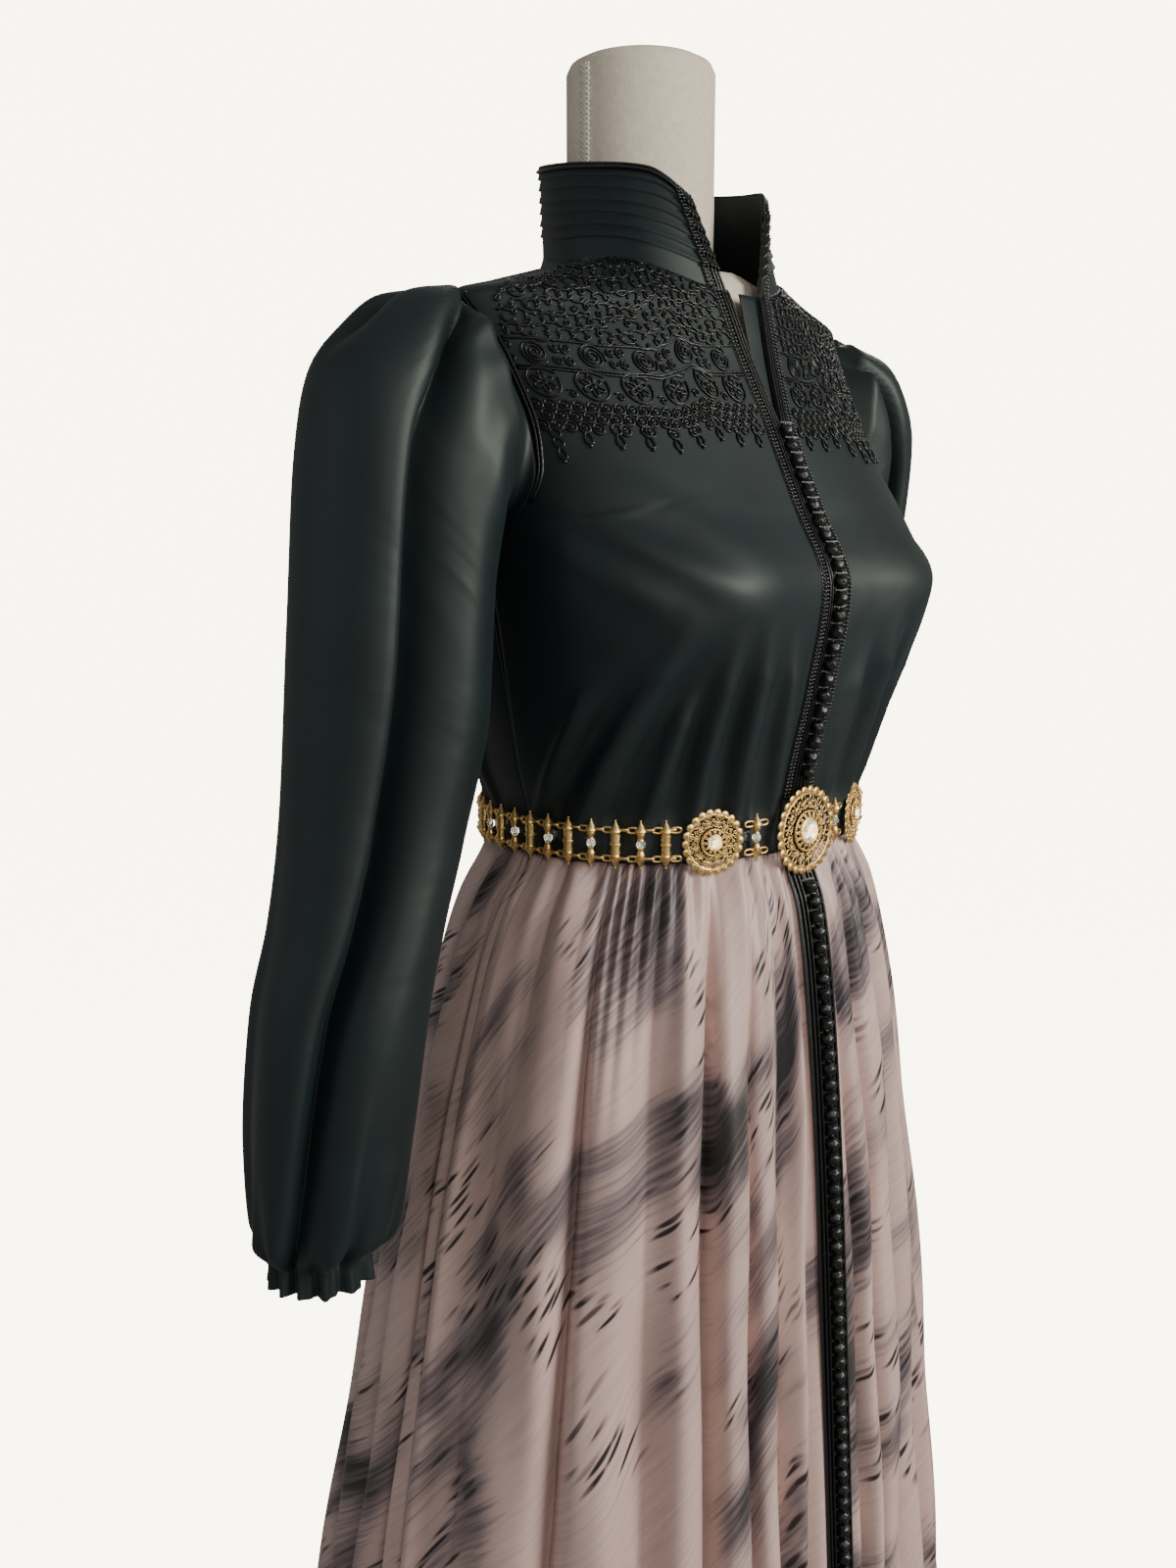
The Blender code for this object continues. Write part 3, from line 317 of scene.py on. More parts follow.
linen, tree, shader = new_finish("plain linen", {
    "Roughness": 0.88, "Specular IOR Level": 0.25, "Sheen Weight": 0.15,
})
coords = add_node(tree, "ShaderNodeTexCoord")
slubs = add_node(tree, "ShaderNodeTexNoise", {
    "Vector": coords.outputs["Object"], "Scale": 1 / (5 * MM), "Detail": 4.0,
})
upright = add_node(tree, "ShaderNodeMapping", {
    "Vector": coords.outputs["Object"], "Scale": (1 / (0.8 * MM), 1 / (0.8 * MM), 1 / (6 * MM)),
})
warp_threads = add_node(tree, "ShaderNodeTexNoise", {
    "Vector": upright.outputs["Vector"], "Scale": 1.0, "Detail": 1.0,
})
level = add_node(tree, "ShaderNodeMapping", {
    "Vector": coords.outputs["Object"], "Scale": (1 / (6 * MM), 1 / (6 * MM), 1 / (0.8 * MM)),
})
weft_threads = add_node(tree, "ShaderNodeTexNoise", {
    "Vector": level.outputs["Vector"], "Scale": 1.0, "Detail": 1.0,
})
crossed = add_node(tree, "ShaderNodeMath", {
    0: warp_threads.outputs["Fac"], 1: weft_threads.outputs["Fac"],
}, operation="ADD")
flax = add_node(tree, "ShaderNodeMix", {
    0: slubs.outputs["Fac"], 6: linear("#c9bba6"), 7: linear("#e6dccb"),
}, data_type="RGBA")
tree.links.new(flax.outputs[2], shader.inputs["Base Color"])
relief = add_node(tree, "ShaderNodeBump", {
    "Height": crossed.outputs[0], "Strength": 0.45, "Distance": 0.4 * MM,
})
tree.links.new(relief.outputs["Normal"], shader.inputs["Normal"])

gimp, tree, shader = new_finish("pale cotton gimp", {
    "Base Color": linear("#e6dfcf"), "Roughness": 0.8, "Sheen Weight": 0.3,
})
print("made", gilt.name, crystal.name, linen.name, gimp.name)

# %% [markdown]
# ## Reading the garment's sizes
#
# The panels follow short tables of sections, the same ones that the solids were made
# from. A smooth curve runs through each column and never overshoots a row, so a panel can
# be drawn as finely as its folds need and still lie on its solid.

# %% Reading a table
def read(table, columns, name, at):
    """A named column of a table at any place, on a smooth curve that never overshoots."""
    rows = np.array(table, dtype=float)
    place, value = rows[:, 0], rows[:, columns.index(name)]
    step = np.diff(value) / np.diff(place)
    both = step[:-1] * step[1:]
    total = np.where(both > 0, step[:-1] + step[1:], 1.0)
    slope = np.concatenate([step[:1], np.where(both > 0, 2 * both / total, 0.0), step[-1:]])
    at = np.clip(at, place[0], place[-1])
    row = np.clip(np.searchsorted(place, at, side="right") - 1, 0, len(place) - 2)
    width = place[row + 1] - place[row]
    t = (at - place[row]) / width
    start = (1 + 2 * t) * (1 - t) ** 2 * value[row] + t * (1 - t) ** 2 * width * slope[row]
    end = t * t * (3 - 2 * t) * value[row + 1] + t * t * (t - 1) * width * slope[row + 1]
    return start + end


def along(curve, distances):
    """Points of a polyline at the given distances from its start."""
    steps = np.linalg.norm(np.diff(curve, axis=0), axis=1)
    length = np.concatenate([[0.0], np.cumsum(steps)])
    return np.stack([np.interp(distances, length, curve[:, k]) for k in range(3)], axis=-1)


def length_of(curve):
    return np.linalg.norm(np.diff(curve, axis=0), axis=1).sum()


def unit(vectors):
    return vectors / np.maximum(np.linalg.norm(vectors, axis=-1, keepdims=True), 1e-12)


def mirrored(points):
    return points * np.array([-1.0, 1.0, 1.0])


def bump(distance, half_width):
    """A smooth hump that is 1 at no distance and fades out over about the half width."""
    return np.exp(-(distance / half_width) ** 2)


# %% The bodice's sizes
BODICE_COLUMNS = ("up", "half_width", "side_y", "front_y", "back_y", "square")
BODICE_SECTIONS = (
    (-0.014, 0.1415, -0.013, -0.131, 0.101, 2.30),
    (0.012, 0.1420, -0.013, -0.131, 0.101, 2.30),
    (0.038, 0.1480, -0.012, -0.135, 0.104, 2.40),
    (0.100, 0.1590, -0.010, -0.149, 0.109, 2.70),
    (0.166, 0.1690, -0.006, -0.159, 0.115, 3.20),
    (0.217, 0.1735, -0.001, -0.136, 0.119, 3.00),
    (0.276, 0.1775, 0.001, -0.108, 0.117, 2.40),
    (0.322, 0.1830, 0.002, -0.089, 0.110, 1.90),
    (0.353, 0.1870, 0.003, -0.079, 0.105, 1.60),
    (0.364, 0.1530, 0.005, -0.075, 0.102, 1.65),
    (0.374, 0.1180, 0.007, -0.072, 0.099, 1.80),
    (0.386, 0.0800, 0.009, -0.070, 0.096, 2.00),
    (0.396, 0.0740, 0.010, -0.069, 0.095, 2.00),
    (0.410, 0.0710, 0.010, -0.068, 0.094, 2.00),
)
WAIST_UP, ARMPIT_UP, SHOULDER_UP = -0.014, 0.208, 0.353
BUST_UP, BUST_X, BUST_REACH, BUST_SPREAD = 0.166, 0.098, 0.017, 0.056
BLOUSE_DEPTH, BLOUSE_PITCH, BLOUSE_FADE = 0.0016, 0.034, 0.085
ARMHOLE_COLUMNS = ("up", "share")
ARMHOLE = (
    (0.208, 1.000), (0.222, 0.985), (0.245, 0.962), (0.275, 0.948), (0.310, 0.955), (0.353, 1.000),
)
OPENING_COLUMNS = ("up", "half_gap")
OPENING = (
    (-0.014, 0.0010), (0.200, 0.0010), (0.272, 0.0012), (0.296, 0.0050), (0.322, 0.0095),
    (0.364, 0.0160),
)
NECK_SIDE_X, NECK_SIDE_UP, SHOULDER_X, TOP_HALF_GAP = 0.080, 0.386, 0.187, 0.016
NECKLINE_COLUMNS = ("x", "front_up", "back_up")
NECKLINE = (
    (0.000, 0.360, 0.404), (0.016, 0.362, 0.403), (0.037, 0.366, 0.401), (0.060, 0.374, 0.396),
    (NECK_SIDE_X, NECK_SIDE_UP, NECK_SIDE_UP),
)


def bodice(name, up):
    return read(BODICE_SECTIONS, BODICE_COLUMNS, name, up)


def bodice_depth(x, up, side):
    """The y of the bodice's outside at a distance from the centre line and a height."""
    side_y, reach, square = bodice("side_y", up), bodice(side, up), bodice("square", up)
    share = np.clip(np.abs(x) / bodice("half_width", up), 0, 1)
    y = side_y + (reach - side_y) * (1 - share ** square) ** (1 / square)
    if side == "front_y":
        across = ((np.abs(x) - BUST_X) / BUST_SPREAD) ** 2
        y = y - BUST_REACH * np.exp(-across - ((up - BUST_UP) / BUST_SPREAD) ** 2)
    fade = np.clip(1 - up / BLOUSE_FADE, 0, 1) * np.clip(1 - share ** 4, 0, 1)
    ripple = np.cos(2 * math.pi * np.abs(x) / BLOUSE_PITCH)
    return y + np.sign(reach) * BLOUSE_DEPTH * fade * ripple


def top_edge(x, name):
    """Height of a panel's top edge: the neckline, then the shoulder seam."""
    up = np.linspace(SHOULDER_UP, NECK_SIDE_UP, 400)
    shoulder = np.interp(x, bodice("half_width", up)[::-1], up[::-1])
    return np.where(x < NECK_SIDE_X, read(NECKLINE, NECKLINE_COLUMNS, name, x), shoulder)


def panel_row(height, side):
    """One fine row of a half panel, from its middle edge to the side seam or armhole."""
    start = TOP_HALF_GAP if side == "front_y" else 0.0
    spread = np.sin(np.linspace(0, math.pi / 2, 400))
    top_x = start + (SHOULDER_X - start) * spread
    top = top_edge(top_x, "front_up" if start else "back_up")
    up = WAIST_UP + (height - WAIST_UP) / (SHOULDER_UP - WAIST_UP) * (top - WAIST_UP)
    first = read(OPENING, OPENING_COLUMNS, "half_gap", up[0]) if start else 0.0
    last = bodice("half_width", up[-1])
    if height > ARMPIT_UP:
        last = last * read(ARMHOLE, ARMHOLE_COLUMNS, "share", up[-1])
    x = first + (last - first) * spread
    return np.stack([-x, bodice_depth(x, up, side), up], axis=-1)


def panel(side, heights, columns):
    """A half panel's grid of points and the distance of each from the middle edge."""
    points, distances = [], []
    for height in heights:
        row = panel_row(height, side)
        places = np.linspace(0, length_of(row), columns)
        points.append(along(row, places))
        distances.append(places)
    return np.array(points), np.array(distances)


def facing_out(points, axis_y=0.0):
    """Unit normals of a grid of points, away from the upright line at axis_y."""
    normal = unit(np.cross(np.gradient(points, axis=1), np.gradient(points, axis=0)))
    away = (points - np.array([0.0, axis_y, 0.0])) * np.array([1.0, 1.0, 0.0])
    return normal * np.sign((normal * away).sum())


heights = np.linspace(WAIST_UP, SHOULDER_UP, 104)
front, front_along = panel("front_y", heights, 100)
front_out = facing_out(front)
print("the front is", round(front_along[0, -1], 3), "m wide at the waist")

# %% [markdown]
# ## Making cloth
#
# A real panel is flat cloth that is pushed into folds. The mesh starts as a flat grid from
# Blender's own grid operator, and each point then goes to its place on the body. The flat
# lengths go into a UV map named cloth, so that weave and print follow the threads. A
# Solidify modifier gives the cloth its thickness, on the inner side.

# %% Making cloth
CLOTH_THICKNESS = 0.9 * MM


def show(name, mesh, finish, replaced=()):
    """Puts a finished mesh into the scene, riding on the garment's only body."""
    mesh.materials.clear()
    mesh.materials.append(finish)
    thing = bpy.data.objects.new(name, mesh)
    bpy.context.scene.collection.objects.link(thing)
    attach(thing, "root")
    if replaced:
        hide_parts(*replaced)
    return thing


def one_side_area(points):
    first = np.cross(points[1:, :-1] - points[:-1, :-1], points[:-1, 1:] - points[:-1, :-1])
    second = np.cross(points[1:, :-1] - points[1:, 1:], points[:-1, 1:] - points[1:, 1:])
    return float(np.linalg.norm(first, axis=-1).sum() + np.linalg.norm(second, axis=-1).sum()) / 2


def cloth(name, points, flat_places, out, finish, replaced, tube=False):
    """A sheet of cloth through a grid of points. A tube is welded along its first column."""
    rows, columns = points.shape[:2]
    bm = bmesh.new()
    bmesh.ops.create_grid(bm, x_segments=columns - 1, y_segments=rows - 1, size=1.0)
    mesh = bpy.data.meshes.new(name)
    bm.to_mesh(mesh)
    bm.free()
    flat = np.empty(len(mesh.vertices) * 3)
    mesh.vertices.foreach_get("co", flat)
    flat = flat.reshape(-1, 3)
    column = np.rint((flat[:, 0] + 1) / 2 * (columns - 1)).astype(int)
    row = np.rint((flat[:, 1] + 1) / 2 * (rows - 1)).astype(int)
    raised = points + np.array([0, 0, BELT_Z])
    mesh.vertices.foreach_set("co", raised[row, column].ravel())
    corner = np.empty(len(mesh.loops), dtype=np.int32)
    mesh.loops.foreach_get("vertex_index", corner)
    layer = mesh.uv_layers.new(name="cloth")
    layer.data.foreach_set("uv", flat_places[row[corner], column[corner]].ravel())
    mesh.update()
    middle = mesh.polygons[len(mesh.polygons) // 2]
    at = middle.vertices[0]
    if Vector(out[row[at], column[at]]).dot(middle.normal) < 0:
        mesh.flip_normals()
    if tube:
        bm = bmesh.new()
        bm.from_mesh(mesh)
        bmesh.ops.remove_doubles(bm, verts=bm.verts[:], dist=1e-6)
        bm.to_mesh(mesh)
        bm.free()
    mesh.shade_smooth()
    print(
        name, "is", round(max(length_of(row) for row in points), 3), "m across and",
        round(max(length_of(points[:, k]) for k in range(0, columns, 8)), 3), "m along, with",
        round(one_side_area(points), 4), "square metres of cloth",
    )
    thing = show(name, mesh, finish, replaced)
    wall = thing.modifiers.new("thickness", "SOLIDIFY")
    wall.thickness, wall.offset, wall.use_even_offset = CLOTH_THICKNESS, -1, False
    return thing


# %% [markdown]
# ## The bodice
#
# The belt pulls the bodice in, so soft folds rise from it and die out below the bust.
# They are listed: each row of the table is one fold, with its distance from the
# front edge at the belt and at its top, how high it reaches, how far it stands out and how
# wide it is. A negative depth is a valley. The folds of the two fronts differ.

# %% Folds of the bodice
FOLD_COLUMNS = ("at_belt", "at_top", "top_up", "depth", "half_width")
RIGHT_FRONT_FOLDS = (
    (0.024, 0.040, 0.150, 0.0040, 0.0085), (0.057, 0.071, 0.155, 0.0056, 0.0100),
    (0.089, 0.096, 0.150, 0.0058, 0.0100), (0.124, 0.110, 0.115, 0.0034, 0.0085),
    (0.174, 0.128, 0.160, 0.0054, 0.0115), (0.206, 0.180, 0.120, 0.0032, 0.0090),
    (0.040, 0.056, 0.135, -0.0034, 0.0075), (0.073, 0.084, 0.150, -0.0046, 0.0080),
    (0.106, 0.103, 0.120, -0.0036, 0.0075), (0.149, 0.117, 0.140, -0.0046, 0.0095),
    (0.191, 0.156, 0.130, -0.0030, 0.0080),
)
LEFT_FRONT_FOLDS = (
    (0.027, 0.044, 0.140, 0.0038, 0.0085), (0.062, 0.070, 0.160, 0.0054, 0.0100),
    (0.095, 0.100, 0.135, 0.0048, 0.0095), (0.131, 0.116, 0.150, 0.0044, 0.0100),
    (0.168, 0.138, 0.125, 0.0040, 0.0100), (0.200, 0.186, 0.150, 0.0034, 0.0095),
    (0.045, 0.058, 0.130, -0.0034, 0.0075), (0.079, 0.086, 0.145, -0.0042, 0.0080),
    (0.113, 0.108, 0.130, -0.0036, 0.0080), (0.150, 0.128, 0.140, -0.0040, 0.0085),
)
BACK_FOLDS = (
    (0.012, 0.010, 0.130, -0.0034, 0.0075), (0.032, 0.028, 0.110, 0.0044, 0.0090),
    (0.053, 0.046, 0.150, -0.0040, 0.0080), (0.076, 0.070, 0.120, 0.0046, 0.0095),
    (0.098, 0.094, 0.160, -0.0040, 0.0085), (0.122, 0.118, 0.125, 0.0042, 0.0095),
    (0.146, 0.146, 0.150, -0.0036, 0.0085), (0.170, 0.176, 0.110, 0.0030, 0.0090),
)


def fold_heights(distances, ups, folds):
    """How far the folds of a table move each point of a panel outwards."""
    moved = np.zeros_like(distances)
    for values in folds:
        fold = dict(zip(FOLD_COLUMNS, values))
        share = np.clip((ups - WAIST_UP) / (fold["top_up"] - WAIST_UP), 0, 1)
        line = fold["at_belt"] + (fold["at_top"] - fold["at_belt"]) * share
        past = distances - line
        width = fold["half_width"] * (1 + 0.5 * share) * np.where(past > 0, 0.5, 1.2)
        fade = (1 - share ** 3) * (0.5 + 1.9 * share) * np.clip(4 * (1 - share), 0, 1)
        strength = 1.35 if fold["depth"] > 0 else 0.95
        moved += strength * fold["depth"] * fade * bump(past, 0.85 * width)
    return moved


def creased(points, out, distances, folds):
    """A panel with its folds, and with a slack drag line from the armhole to the bust."""
    ups = points[..., 2]
    moved = fold_heights(distances, ups, folds)
    drag = (distances - 0.105) * 0.62 - (ups - 0.165)
    reach = bump(distances - 0.150, 0.045) * bump(ups - 0.192, 0.040)
    moved += 0.0016 * reach * np.cos(drag / 0.0065)
    moved *= np.clip((distances - 0.014) / 0.010, 0, 1)
    return points + moved[..., None] * out


right_front = creased(front, front_out, front_along, RIGHT_FRONT_FOLDS)
left_front = mirrored(creased(front, front_out, front_along, LEFT_FRONT_FOLDS))
front_flat = np.stack([front_along, np.broadcast_to(heights[:, None], front_along.shape)], axis=-1)
front_cloth_right = cloth(
    "front_cloth_right", right_front, front_flat, front_out, satin_dark,
    ["bodice_front_right"],
)
front_cloth_left = cloth(
    "front_cloth_left", left_front, front_flat + [0.6, 0], mirrored(front_out), satin_dark,
    ["bodice_front_left"],
)

# %% The back of the bodice
half_back, back_along = panel("back_y", heights, 84)
half_out = facing_out(half_back)
half_moved = fold_heights(back_along, half_back[..., 2], BACK_FOLDS)
other_moved = fold_heights(back_along + 0.007, half_back[..., 2], BACK_FOLDS)
right_half = half_back + half_moved[..., None] * half_out
left_half = mirrored(half_back + other_moved[..., None] * half_out)
back = np.concatenate([right_half[:, :0:-1], left_half], axis=1)
back_out = np.concatenate([half_out[:, :0:-1], mirrored(half_out)], axis=1)
back_places = np.concatenate([-back_along[:, :0:-1], back_along], axis=1)
back_flat = np.stack([
    back_places + 1.6, np.broadcast_to(heights[:, None], back_places.shape),
], axis=-1)
back_cloth = cloth(
    "back_cloth", back, back_flat, back_out, satin_dark, ["bodice_back"],
)

# %% [markdown]
# ## The sleeves
#
# Each sleeve is a tube that starts on the armhole, puffs out under a gathered head and
# hangs to a wrist that is drawn in above a small frill. One long valley runs down it from
# the head to the wrist, and the cloth outside it laps a little over it. The rings of the
# tube follow the table of the solids, and the creases are placed round each ring.

# %% The sleeves' sizes
SLEEVE_COLUMNS = ("ring", "in_x", "in_up", "out_x", "out_up", "mid_y", "half_depth")
SLEEVE_RINGS = (
    (1, 0.1745, 0.204, 0.204, 0.357, 0.002, 0.060),
    (2, 0.1770, 0.194, 0.236, 0.350, 0.003, 0.065),
    (3, 0.1780, 0.178, 0.262, 0.331, 0.004, 0.068),
    (4, 0.1780, 0.154, 0.284, 0.304, 0.006, 0.068),
    (5, 0.1770, 0.128, 0.294, 0.252, 0.008, 0.068),
    (6, 0.1765, 0.080, 0.3005, 0.150, 0.012, 0.068),
    (7, 0.1920, 0.002, 0.309, 0.022, 0.018, 0.062),
    (8, 0.2070, -0.050, 0.319, -0.046, 0.020, 0.061),
    (9, 0.2180, -0.105, 0.333, -0.105, 0.023, 0.061),
    (10, 0.2300, -0.190, 0.340, -0.190, 0.027, 0.059),
    (11, 0.2420, -0.252, 0.338, -0.252, 0.030, 0.051),
    (12, 0.2590, -0.272, 0.325, -0.272, 0.031, 0.033),
    (13, 0.2600, -0.289, 0.324, -0.289, 0.031, 0.033),
)
SWING_COLUMNS = ("up", "back")
LEFT_SWING = (
    (-0.290, 0.072), (-0.190, 0.074), (-0.050, 0.070), (0.010, 0.063), (0.090, 0.044),
    (0.160, 0.028), (0.220, 0.019), (0.290, 0.009), (0.350, 0.000),
)
HEAD_CLEARANCE = 0.0012
CREASE_COLUMNS = ("ring", "at", "depth", "spread")
LONG_VALLEY = (
    (0, 168, 0.000, 7), (0.6, 163, 0.009, 8), (1.5, 148, 0.019, 11), (2.5, 135, 0.027, 14),
    (4, 126, 0.030, 18), (6, 124, 0.030, 21), (7, 128, 0.029, 21), (9, 142, 0.024, 18),
    (11, 154, 0.014, 15), (12, 158, 0.004, 10), (13, 158, 0.001, 10),
)
INNER_RIDGE = (
    (0, 84, 0.000, 14), (1.5, 82, -0.004, 15), (3, 76, -0.006, 18), (4.5, 74, -0.003, 20),
    (7, 76, -0.001, 20), (11, 112, -0.003, 15), (13, 118, 0.000, 12),
)
HEAD_DIMPLE = (
    (0, 190, 0.000, 5), (0.8, 188, 0.007, 6), (1.8, 186, 0.012, 8), (3.0, 183, 0.008, 10),
    (4.4, 182, 0.000, 10), (13, 182, 0.000, 10),
)
LOW_VALLEY = (
    (0, 196, 0.0, 12), (6, 196, 0.0, 14), (8, 198, 0.003, 16), (10.6, 208, 0.006, 15),
    (12, 214, 0.002, 12), (13, 214, 0.000, 10),
)
BACK_VALLEY = (
    (0, 236, 0.000, 9), (1.5, 238, 0.006, 10), (4, 242, 0.009, 14), (8, 254, 0.010, 16),
    (11, 266, 0.006, 13), (13, 270, 0.000, 10),
)
WRIST_LOBE = (
    (0, 96, 0.0, 12), (9, 96, 0.0, 12), (10.4, 98, 0.008, 13), (11.4, 104, 0.011, 12),
    (12, 108, 0.004, 9), (13, 108, 0.001, 8),
)
GATHER_COLUMNS = ("ring", "depth")
HEAD_GATHERS = ((0, 0.0003), (0.5, 0.0030), (1.3, 0.0020), (2.4, 0.0), (13, 0.0))
WRIST_GATHERS = (
    (0, 0.0), (9.8, 0.0), (10.8, 0.0012), (11.6, 0.0032), (12.0, 0.0022), (12.5, 0.0028),
    (13, 0.0034),
)


def sleeve_value(name, ring):
    return read(SLEEVE_RINGS, SLEEVE_COLUMNS, name, ring)


def sleeve_ring(ring, turn, phase):
    """One ring of the right sleeve, mirrored to +X, with its creases and gathers."""
    inner = np.array([sleeve_value("in_x", ring), 0, sleeve_value("in_up", ring)])
    outer = np.array([sleeve_value("out_x", ring), 0, sleeve_value("out_up", ring)])
    reach = (outer - inner) / 2
    size = np.linalg.norm(reach)
    degrees = np.degrees(turn)
    moved = np.zeros_like(turn)
    for crease in (
        LONG_VALLEY, INNER_RIDGE, HEAD_DIMPLE, LOW_VALLEY, BACK_VALLEY, WRIST_LOBE,
    ):
        past = degrees - read(crease, CREASE_COLUMNS, "at", ring) - phase
        spread = read(crease, CREASE_COLUMNS, "spread", ring) * np.where(past > 0, 0.5, 1.35)
        moved -= read(crease, CREASE_COLUMNS, "depth", ring) * bump(past, spread)
    head = np.clip(-np.cos(turn) + 0.25, 0, 1)
    wander = 5.5 * turn + 0.9 * np.sin(3 * turn + 0.3 * phase)
    moved += read(HEAD_GATHERS, GATHER_COLUMNS, "depth", ring) * head * np.cos(2 * wander)
    wrist = read(WRIST_GATHERS, GATHER_COLUMNS, "depth", ring)
    moved += wrist * np.cos(13 * turn + 1.6 * np.sin(2 * turn) + 0.5 * phase)
    moved += 0.5 * wrist * np.cos(21 * turn + 1.1 * np.sin(3 * turn))
    shape = 1 + moved / size
    past = degrees - read(LONG_VALLEY, CREASE_COLUMNS, "at", ring) - phase
    spread = read(LONG_VALLEY, CREASE_COLUMNS, "spread", ring)
    lapped = 470 * read(LONG_VALLEY, CREASE_COLUMNS, "depth", ring)
    turn = turn - np.radians(lapped * bump(past - 0.5 * spread - 3, 9.0))
    middle = (inner + outer) / 2 + np.array([0, sleeve_value("mid_y", ring), 0])
    side = np.array([0, -sleeve_value("half_depth", ring), 0])
    return (
        middle + (-np.cos(turn) * shape)[:, None] * reach + (np.sin(turn) * shape)[:, None] * side
    )


def sleeve_grid(phase):
    """All rings of a sleeve, the first on the armhole's edge, and its flat places."""
    turn = np.linspace(0, 2 * math.pi, 133)
    edge = heights >= ARMPIT_UP - 0.001
    loop = mirrored(np.concatenate([front[edge, -1], half_back[edge, -1][::-1]]))
    loop = np.concatenate([loop, loop[:1]])
    head = along(loop, np.linspace(0, length_of(loop), len(turn)))
    head = head + np.array([HEAD_CLEARANCE, 0, 0])
    steps = np.concatenate([
        np.linspace(0, 1, 7)[1:], np.linspace(1, 5, 30)[1:], np.linspace(5, 11, 56)[1:],
        np.linspace(11, 13, 24)[1:],
    ])
    rings = [head]
    for step in steps:
        ring = sleeve_ring(max(step, 1.0), turn, phase)
        if step < 1:
            rounded = step * step * (3 - 2 * step)
            ring = head + (0.35 * step + 0.65 * rounded) * (ring - head)
        rings.append(ring)
    points = np.array(rings)
    points[:, -1] = points[:, 0]
    down = np.concatenate([[0], np.cumsum(np.linalg.norm(np.diff(points[:, 66], axis=0), axis=1))])
    flat = np.stack([
        np.broadcast_to(turn / (2 * math.pi) * 0.40, points.shape[:2]),
        np.broadcast_to(-down[:, None], points.shape[:2]),
    ], axis=-1)
    return points, flat


# %% The two sleeves
right_sleeve, sleeve_flat = sleeve_grid(0.0)
left_sleeve, _ = sleeve_grid(-14.0)
left_sleeve[1:, :, 1] += read(LEFT_SWING, SWING_COLUMNS, "back", left_sleeve[1:, :, 2])
sleeve_cloths = []
for side, points in (("right", mirrored(right_sleeve)), ("left", left_sleeve)):
    out = unit(points - points.mean(axis=1, keepdims=True))
    sleeve_cloths.append(cloth(
        "sleeve_cloth_" + side, points, sleeve_flat + [2.4, 0], out, satin_dark,
        ["sleeve_" + side], tube=True,
    ))

# %% [markdown]
# ## The skirt
#
# The skirt is gathered into the waist seam, so it hangs in soft folds that are tight at
# the belt and open out towards the hem. How deep they are at each height is the solids'
# own, but their places are uneven, from a short table of valleys, since no two folds of a
# gathered skirt are alike. Crests are rounder than valleys, and fine gathers lie at the belt.

# %% The skirt's sizes
HEM_DOWN = BELT_Z - 0.018
SKIRT_COLUMNS = ("down", "half_width", "side_y", "front_y", "back_y", "fold", "gather")
SKIRT_SECTIONS = (
    (0.0145, 0.1415, -0.013, -0.131, 0.101, 0.0004, 0.0016),
    (0.024, 0.1450, -0.012, -0.134, 0.105, 0.0010, 0.0028),
    (0.050, 0.1600, -0.009, -0.145, 0.112, 0.0035, 0.0022),
    (0.100, 0.1760, -0.004, -0.154, 0.122, 0.0065, 0.0010),
    (0.215, 0.2000, 0.003, -0.166, 0.148, 0.0100, 0.0000),
    (0.385, 0.2260, 0.010, -0.178, 0.185, 0.0130, 0.0000),
    (0.615, 0.2570, 0.016, -0.193, 0.240, 0.0155, 0.0000),
    (HEM_DOWN, 0.3100, 0.028, -0.222, 0.330, 0.0190, 0.0000),
)
SKIRT_SQUARE, FOLDS, POINTS_PER_FOLD = 2.2, 8, 4
SKIRT_BRAID_WIDTH, SKIRT_HALF_GAP, FOLD_DRIFT = 0.0115, 0.0010, 0.30
LAST_COLUMN = FOLDS * POINTS_PER_FOLD


def skirt(name, down):
    return read(SKIRT_SECTIONS, SKIRT_COLUMNS, name, down)


def skirt_row(down, side):
    """Half of one level of the skirt, from its middle to the side seam, without folds."""
    turn = np.linspace(0, math.pi / 2, 400)
    side_y, reach = skirt("side_y", down), skirt(side, down)
    x = skirt("half_width", down) * np.sin(turn) ** (2 / SKIRT_SQUARE)
    y = side_y + (reach - side_y) * np.cos(turn) ** (2 / SKIRT_SQUARE)
    return np.stack([-x, y, np.full_like(x, -down)], axis=-1)


def hung(phase, lean):
    """A round crest at each whole number, leaning to one side, and a narrow valley between."""
    phase = phase + lean * np.sin(2 * math.pi * phase)
    return 2 * np.abs(np.cos(math.pi * phase)) ** 0.75 - 1.2


